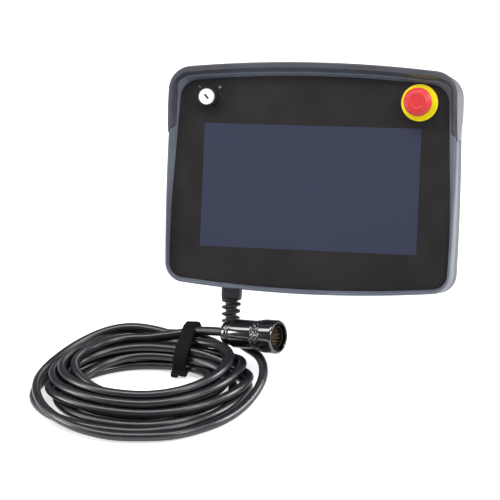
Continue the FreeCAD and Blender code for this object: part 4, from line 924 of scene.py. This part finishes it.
class PANEL_OT_cable(bpy.types.Operator):
    """Cable: one smooth line from the bend relief through the coil to the connector"""

    bl_idname = "panel.cable"
    bl_label = "Cable"

    EXIT = tuple(stand(-0.085, -0.1531, 0.013))
    EXIT_RUN = 0.011
    LOW = FLOOR + 0.0046
    LEAD = (
        (-0.0768, -0.0796, -0.1507),
        (-0.0645, -0.0922, -0.1520),
        (-0.0493, -0.1053, -0.1518),
        (-0.0387, -0.1217, -0.1550),
        (-0.0352, -0.1410, -0.1631),
        (-0.0405, -0.1636, -0.1710),
        (-0.0490, -0.1885, -0.1750),
        (-0.0615, -0.2130, LOW),
        (-0.0770, -0.2299, LOW),
        (-0.0933, -0.2432, LOW),
        (-0.1120, -0.2515, LOW),
    )
    TAIL = (
        (-0.1570, -0.0855, -0.1480),
        (-0.1430, -0.0825, -0.1460),
        (-0.1260, -0.0810, -0.1425),
    )
    TAIL_RUN = 0.020
    FRONT_X = -0.150
    # front (its Y and Z), left, back and next right of each turn, from the loose outer turn to the top one
    TURNS = (
        ((-0.2578, LOW), (-0.2665, -0.152, -0.168), (-0.18, -0.076, -0.146), (-0.065, -0.15, LOW)),
        ((-0.2325, LOW), (-0.239, -0.177, LOW), (-0.166, -0.0908, -0.1698), (-0.0525, -0.142, -0.1715)),
        ((-0.2455, LOW), (-0.269, -0.166, LOW), (-0.168, -0.0818, -0.1653), (-0.083, -0.148, LOW)),
        ((-0.2225, LOW), (-0.238, -0.163, LOW), (-0.16, -0.0995, LOW), (-0.0925, -0.14, -0.1665)),
        ((-0.213, LOW), (-0.231, -0.162, -0.1735), (-0.16, -0.0975, -0.1665), (-0.072, -0.142, -0.167)),
        ((-0.2115, -0.1665), (-0.236, -0.154, -0.163), (-0.16, -0.0965, -0.158), (-0.0495, -0.136, -0.162)),
        ((-0.2235, -0.168), (-0.248, -0.168, -0.1685), (-0.164, -0.0892, -0.1615), (-0.062, -0.132, -0.156)),
        ((-0.2168, -0.1602), (-0.251, -0.153, -0.161), (-0.166, -0.0808, -0.1575), (-0.068, -0.136, -0.151)),
        ((-0.2085, -0.1552), (-0.243, -0.147, -0.155), (-0.168, -0.0725, -0.1535), (-0.077, -0.138, -0.157)),
        ((-0.2, -0.163), (-0.229, -0.148, -0.15), (-0.172, -0.089, -0.1495)),
    )
    # points next to each other that never push, share of a lack pushed, share of a move kept in smoothing
    NEIGHBOURS = 6
    PUSH = 0.25
    KEPT = 0.6
    LOOSE_ENDS = 4
    TIE_REACH = 0.009
    TIE_ROOM = 0.0097
    TIE_NEAR = 0.035

    def quarters(self, steps):
        """Quarter ellipses between the places that each turn passes."""
        places = np.array([
            place for front, *others in self.TURNS for place in ((self.FRONT_X, *front), *others)
        ])
        start, end = places[:-1], places[1:]
        part = np.linspace(0, 1, steps, endpoint=False)
        angle = part * math.pi / 2
        # a turn runs along X at its front and back, and along Y at its left and right
        along_x = (np.arange(len(start)) % 2 == 0)[:, None]
        slow, quick = 1 - np.cos(angle), np.sin(angle)
        share_x = np.where(along_x, quick, slow)
        share_y = np.where(along_x, slow, quick)
        rise = (1 - np.cos(part * math.pi)) / 2
        shares = np.stack([share_x, share_y, np.broadcast_to(rise, share_x.shape)], axis=-1)
        points = start[:, None] + (end - start)[:, None] * shares
        return np.vstack([points.reshape(-1, 3), places[-1:]])

    def settled(self, points, diameter, rounds):
        """Push touching turns apart, keep them on the floor and inside the tie."""
        base = points.copy()
        count = len(points)
        free = np.zeros((count, 1))
        free[self.LOOSE_ENDS:-self.LOOSE_ENDS] = 1
        apart = np.abs(np.arange(count)[:, None] - np.arange(count - 1)[None, :]) > self.NEIGHBOURS
        for _ in range(rounds):
            first, run = points[:-1], np.diff(points, axis=0)
            offset = points[:, None] - first[None]
            share = np.clip((offset * run).sum(-1) / (run * run).sum(-1), 0, 1)
            gap = offset - share[..., None] * run
            distance = np.linalg.norm(gap, axis=-1)
            lack = np.where(apart & (distance < diameter), diameter - distance, 0)
            push = gap / np.maximum(distance, 1e-6)[..., None] * (lack * self.PUSH)[..., None]
            shift = push.sum(axis=1)
            shift[:-1] -= (push * (1 - share)[..., None]).sum(axis=0)
            shift[1:] -= (push * share[..., None]).sum(axis=0)
            moved = (points + shift - base) * free
            moved[1:-1] = self.KEPT * moved[1:-1] + (1 - self.KEPT) / 2 * (moved[:-2] + moved[2:])
            points = base + moved * free
            points[:, 2] = np.maximum(points[:, 2], FLOOR + diameter / 2)
            points = self.held(points, free)
        return points

    def held(self, points, free):
        """Pull what passes through the tie to within reach of the tie's middle line."""
        flat = points[:, 1:]
        line = TIE_HIGH - TIE_LOW
        share = np.clip(((flat - TIE_LOW) @ line) / (line @ line), 0, 1)[:, None]
        nearest = TIE_LOW + line * share
        offset = flat - nearest
        distance = np.linalg.norm(offset, axis=1, keepdims=True)
        inside = nearest + offset * np.minimum(1, self.TIE_ROOM / np.maximum(distance, 1e-9))
        near = np.exp(-((points[:, :1] - TIE_X) / self.TIE_REACH) ** 2)
        near = near * (distance < self.TIE_NEAR) * free
        held = points.copy()
        held[:, 1:] = flat + (inside - flat) * near
        return held

    def execute(self, context):
        sizes = context.scene.cable_sizes
        start = np.array(self.EXIT)
        lead = np.vstack([start, start - PANEL_UP * self.EXIT_RUN, self.LEAD])
        tail = np.vstack([self.TAIL, PLUG_REAR - PLUG_WAY * self.TAIL_RUN, PLUG_REAR])
        points = np.vstack([lead, self.quarters(sizes.points_per_quarter), tail])
        points = self.settled(points, sizes.diameter, sizes.settling)
        curve = bpy.data.curves.new("cable", "CURVE")
        curve.dimensions = "3D"
        curve.resolution_u = 4
        curve.bevel_depth = sizes.diameter / 2
        curve.bevel_resolution = 6
        spline = curve.splines.new("NURBS")
        spline.points.add(len(points) - 1)
        spline.points.foreach_set("co", np.hstack([points, np.ones((len(points), 1))]).ravel())
        spline.order_u = 3
        spline.use_endpoint_u = True
        cable = bpy.data.objects.new("cable", curve)
        context.scene.collection.objects.link(cable)
        curve.materials.append(self.sheath(context.scene.panel_colours))
        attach(cable, "panel")
        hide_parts("cable_lead", "cable_coil", "cable_tail")
        plug = ("plug_nut", "plug_barrel", "plug_ring", "plug_sleeve")
        on_cable = [bpy.data.objects[name] for name in plug]
        on_cable += [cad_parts[node] for node in ("connector_insert", "connector_pins")]
        return {"FINISHED"}

    def sheath(self, colours):
        """Extruded sheath: fine draw marks, dust and an uneven satin sheen."""
        finish = Finish("cable sheath", Specular_IOR_Level=0.9)
        clouds = finish.noise(60, 4, 0.6)
        grit = finish.noise(1800, 2)
        finish.set("Base Color", finish.shades(clouds, colours.cable, 0.8, 1.5))
        finish.set("Roughness", clouds * 0.1 + grit * 0.04 + 0.25)
        finish.bump(grit, 0.1, 0.00003)
        return finish.material


class PANEL_OT_tie(bpy.types.Operator):
    """Tie: a soft hook and loop strap round the back of the coil, with two loose ends"""

    bl_idname = "panel.tie"
    bl_label = "Cable tie"

    WIDTH = 0.0150
    REACH = 0.0155
    THICKNESS = 0.0030
    LEAN_X = 0.14
    CLEAR = FLOOR + 0.0007
    # height, count and start of the waves in the strap's reach round the coil
    WAVES = ((0.0006, 3, 0.7), (0.0004, 7, 0))
    LOOP_STEPS = 140
    SECTION_STEPS = 28
    ACROSS_SQUARENESS = 0.45
    OUT_SQUARENESS = 0.8
    # name, place along X, way and length of each loose end, and where round the loop they leave it
    ENDS = (("strap_end", -0.1350, 215, 0.008), ("strap_tab", -0.1268, 230, 0.006))
    END_START = math.radians(215)
    END_LIFT = 0.0006
    END_SHARE = 0.6
    # places along a loose end, and its share of the section there
    END_ROWS = ((0, 0), (0, 1.0), (0.4, 1.0), (0.8, 0.95), (0.97, 0.8), (1.0, 0))
    LUMP_SIZE = 0.004
    LUMP_HEIGHT = 0.0012

    def execute(self, context):
        finish = Finish("tie fabric", Specular_IOR_Level=0.1)
        loops = finish.node("ShaderNodeTexVoronoi", {}, {"Vector": finish.place(), "Scale": 1400})
        fuzz = finish.noise(500, 4, 0.7)
        finish.set("Base Color", finish.blend(fuzz, (0.003, 0.003, 0.003), (0.016, 0.016, 0.017)))
        finish.set("Roughness", fuzz * 0.15 + 0.8)
        finish.bump(loops + fuzz, 0.8, 0.0003)
        mesh = surface("strap", self.loop(), wrap_rows=True, wrap_columns=True, sharp=60)
        strap = put("strap", mesh, "panel", finish.material, stands_for=["cable_tie"])
        self.roughen(strap)
        for name, x, turn, long in self.ENDS:
            mesh = surface(name, self.end(x, math.radians(turn), long), wrap_columns=True, sharp=60)
            self.roughen(put(name, mesh, "panel", finish.material))
        return {"FINISHED"}

    def track(self, angle):
        """Points and outward ways round a stadium in the Y Z plane, by the way they face."""
        way = np.stack([np.cos(angle), np.sin(angle)], axis=-1)
        centre = np.where((way @ (TIE_HIGH - TIE_LOW) > 0)[..., None], TIE_HIGH, TIE_LOW)
        return centre, way

    def section(self):
        """Flat rounded section: across the strap and out from its middle."""
        angle = angles(self.SECTION_STEPS)
        across = swelled(np.cos(angle), self.ACROSS_SQUARENESS) * self.WIDTH / 2
        out = swelled(np.sin(angle), self.OUT_SQUARENESS) * self.THICKNESS / 2
        return across, out

    def loop(self):
        """Section carried round the stadium, leaning along X as it goes up."""
        angle = angles(self.LOOP_STEPS)
        centre, way = self.track(angle)
        across, out = self.section()
        reach = self.REACH + sum(high * np.sin(angle * count + start) for high, count, start in self.WAVES)
        flat = centre[:, None] + way[:, None] * (reach[:, None] + out)[..., None]
        flat[..., 1] = np.maximum(flat[..., 1], self.CLEAR)
        lean = (flat[..., 1] - TIE_LOW[1]) * self.LEAN_X
        return np.concatenate([(TIE_X + across + lean)[..., None], flat], axis=-1)

    def end(self, x, turn, long):
        """Loose end: the section carried straight off the strap, drawn in at its tip."""
        along, share = np.array(self.END_ROWS).T
        centre, way = self.track(np.array(self.END_START))
        start = centre + way * (self.REACH + self.END_LIFT)
        course = np.array((math.cos(turn), math.sin(turn)))
        side = np.array((-course[1], course[0]))
        across, out = self.section()
        flat = (start + along[:, None, None] * long * course) + (share[:, None] * out)[..., None] * side
        flat[..., 1] = np.maximum(flat[..., 1], self.CLEAR)
        return np.concatenate([(x + self.END_SHARE * across * share[:, None])[..., None], flat], axis=-1)

    def roughen(self, piece):
        """Lumps of a soft pile, by a cloud texture that moves the surface along its normals."""
        clouds = bpy.data.textures.new(piece.name + "_lumps", "CLOUDS")
        clouds.noise_scale = self.LUMP_SIZE
        lumps = piece.modifiers.new("lumps", "DISPLACE")
        lumps.texture = clouds
        lumps.texture_coords = "LOCAL"
        lumps.strength = self.LUMP_HEIGHT


class PANEL_OT_stage(bpy.types.Operator):
    """Pale floor, soft studio lights and the camera"""

    bl_idname = "panel.stage"
    bl_label = "Stage"

    SCREEN_DEPTH = 0.0515
    SCREEN_HEIGHT = -0.0098
    FOCAL_PIXELS = 1850
    IMAGE_PIXELS = 500
    SENSOR = 36.0
    YAW = math.radians(14.1)
    PITCH = math.radians(0.9)
    ROLL = math.radians(2.4)
    SHIFT_RIGHT = -0.0597
    SHIFT_UP = -0.0622
    DISTANCE = 1.8593
    FLOOR_REACH = 6
    # the floor's own light, as the camera and as glossy pieces see it
    GLOW_SEEN = 0.6
    GLOW_MIRRORED = 0.2
    SKY = (0.93, 0.96, 1.0, 1)
    SKY_STRENGTH = 0.2
    # name, place, target, width, height and power of each soft box
    BOXES = (
        ("top_box", (-0.60, -0.43, 1.2), (-0.60, -0.28, -0.1), 2.4, 0.50, 22.0),
        ("front_box", (1.8, -1.6, 1.6), (0, 0, 0), 0.9, 0.9, 26.0),
        ("right_box", (1.3, 0.2, 0.6), (0, 0, 0), 0.5, 0.9, 18.0),
        ("left_box", (-1.3, -0.6, 0.2), (-0.1, -0.1, -0.1), 0.4, 0.5, 7.0),
        ("back_box", (0.2, 1.3, 0.9), (0, 0, 0), 1.2, 0.4, 5.0),
    )

    def execute(self, context):
        self.floor()
        self.world(context.scene)
        self.lamps(context.scene)
        self.camera(context.scene)
        context.scene.view_settings.view_transform = "Standard"
        return {"FINISHED"}

    def floor(self):
        """Wide flat floor, whose own faint light keeps shadows pale."""
        side = np.linspace(-self.FLOOR_REACH, self.FLOOR_REACH, 3)
        x, y = np.meshgrid(side, side)
        mesh = surface("floor", np.stack([x, y, np.full_like(x, FLOOR)], axis=-1))
        finish = Finish(
            "floor white", Roughness=0.9, Specular_IOR_Level=0.0, Base_Color=(0.75, 0.76, 0.78, 1))
        finish.set("Emission Color", (1, 1, 1, 1))
        camera_ray = finish.node("ShaderNodeLightPath", {}, {}, "Is Camera Ray")
        glossy_ray = finish.node("ShaderNodeLightPath", {}, {}, "Is Glossy Ray")
        finish.set("Emission Strength", camera_ray * self.GLOW_SEEN + glossy_ray * self.GLOW_MIRRORED)
        thing = bpy.data.objects.new("floor", mesh)
        mesh.materials.append(finish.material)
        bpy.context.scene.collection.objects.link(thing)

    def world(self, scene):
        world = bpy.data.worlds.new("studio")
        world.use_nodes = True
        background = world.node_tree.nodes["Background"]
        background.inputs["Color"].default_value = self.SKY
        background.inputs["Strength"].default_value = self.SKY_STRENGTH
        scene.world = world

    def lamps(self, scene):
        """Soft boxes that face their targets."""
        for name, place, target, width, height, power in self.BOXES:
            lamp = bpy.data.lights.new(name, "AREA")
            lamp.shape = "RECTANGLE"
            lamp.size = width
            lamp.size_y = height
            lamp.energy = power
            thing = bpy.data.objects.new(name, lamp)
            scene.collection.objects.link(thing)
            self.point(thing, place, np.subtract(place, target))

    def point(self, thing, place, back):
        """Stand a lamp so that it looks against a direction."""
        back = np.asarray(back) / np.linalg.norm(back)
        right = np.cross((0, 0, 1), back)
        right = right / np.linalg.norm(right)
        self.turn(thing, place, right, np.cross(back, right), back)

    def turn(self, thing, place, right, up, back):
        matrix = np.eye(4)
        matrix[:3, :3] = np.stack([right, up, back], axis=1)
        matrix[:3, 3] = place
        thing.matrix_world = Matrix(matrix.tolist())

    def camera(self, scene):
        """Camera turned, tipped and rolled about the display's middle."""
        back = np.array((
            math.sin(self.YAW) * math.cos(self.PITCH),
            -math.cos(self.YAW) * math.cos(self.PITCH),
            math.sin(self.PITCH),
        ))
        level = np.array((math.cos(self.YAW), math.sin(self.YAW), 0))
        rise = np.cross(back, level)
        right = math.cos(self.ROLL) * level + math.sin(self.ROLL) * rise
        up = math.cos(self.ROLL) * rise - math.sin(self.ROLL) * level
        spot = back * self.DISTANCE + right * self.SHIFT_RIGHT + up * self.SHIFT_UP
        lean = np.stack([(1, 0, 0), -PANEL_FORWARD, PANEL_UP], axis=1)
        place = stand(spot[0], spot[2] + self.SCREEN_HEIGHT, self.SCREEN_DEPTH - spot[1])
        data = bpy.data.cameras.new("camera")
        data.sensor_width = self.SENSOR
        data.lens = self.SENSOR * self.FOCAL_PIXELS / self.IMAGE_PIXELS
        thing = bpy.data.objects.new("camera", data)
        scene.collection.objects.link(thing)
        self.turn(thing, place, lean @ right, lean @ up, lean @ back)
        scene.camera = thing


class PANEL_PT_sidebar(bpy.types.Panel):
    """Lists the pieces of the operator panel"""

    bl_idname = "PANEL_PT_sidebar"
    bl_label = "Operator panel"
    bl_space_type = "VIEW_3D"
    bl_region_type = "UI"
    bl_category = "Operator Panel"

    def draw(self, context):
        for operator in OPERATORS:
            self.layout.operator(operator.bl_idname)


OPERATORS = (
    PANEL_OT_stage,
    PANEL_OT_connector,
    PANEL_OT_cable,
    PANEL_OT_bezel,
    PANEL_OT_hood,
    PANEL_OT_front,
    PANEL_OT_stop_button,
    PANEL_OT_key_switch,
    PANEL_OT_housing,
    PANEL_OT_relief,
    PANEL_OT_tie,
)
GROUPS = {"casing_sizes": CasingSizes, "cable_sizes": CableSizes, "panel_colours": PanelColours}


def register():
    for group in GROUPS.values():
        bpy.utils.register_class(group)
    for name, group in GROUPS.items():
        setattr(bpy.types.Scene, name, bpy.props.PointerProperty(type=group))
    for operator in OPERATORS:
        bpy.utils.register_class(operator)
    bpy.utils.register_class(PANEL_PT_sidebar)


def unregister():
    bpy.utils.unregister_class(PANEL_PT_sidebar)
    for operator in reversed(OPERATORS):
        bpy.utils.unregister_class(operator)
    for name in GROUPS:
        delattr(bpy.types.Scene, name)
    for group in reversed(GROUPS.values()):
        bpy.utils.unregister_class(group)


def main():
    register()
    for operator in OPERATORS:
        group, name = operator.bl_idname.split(".")
        getattr(getattr(bpy.ops, group), name)()


if __name__ == "__main__":
    main()
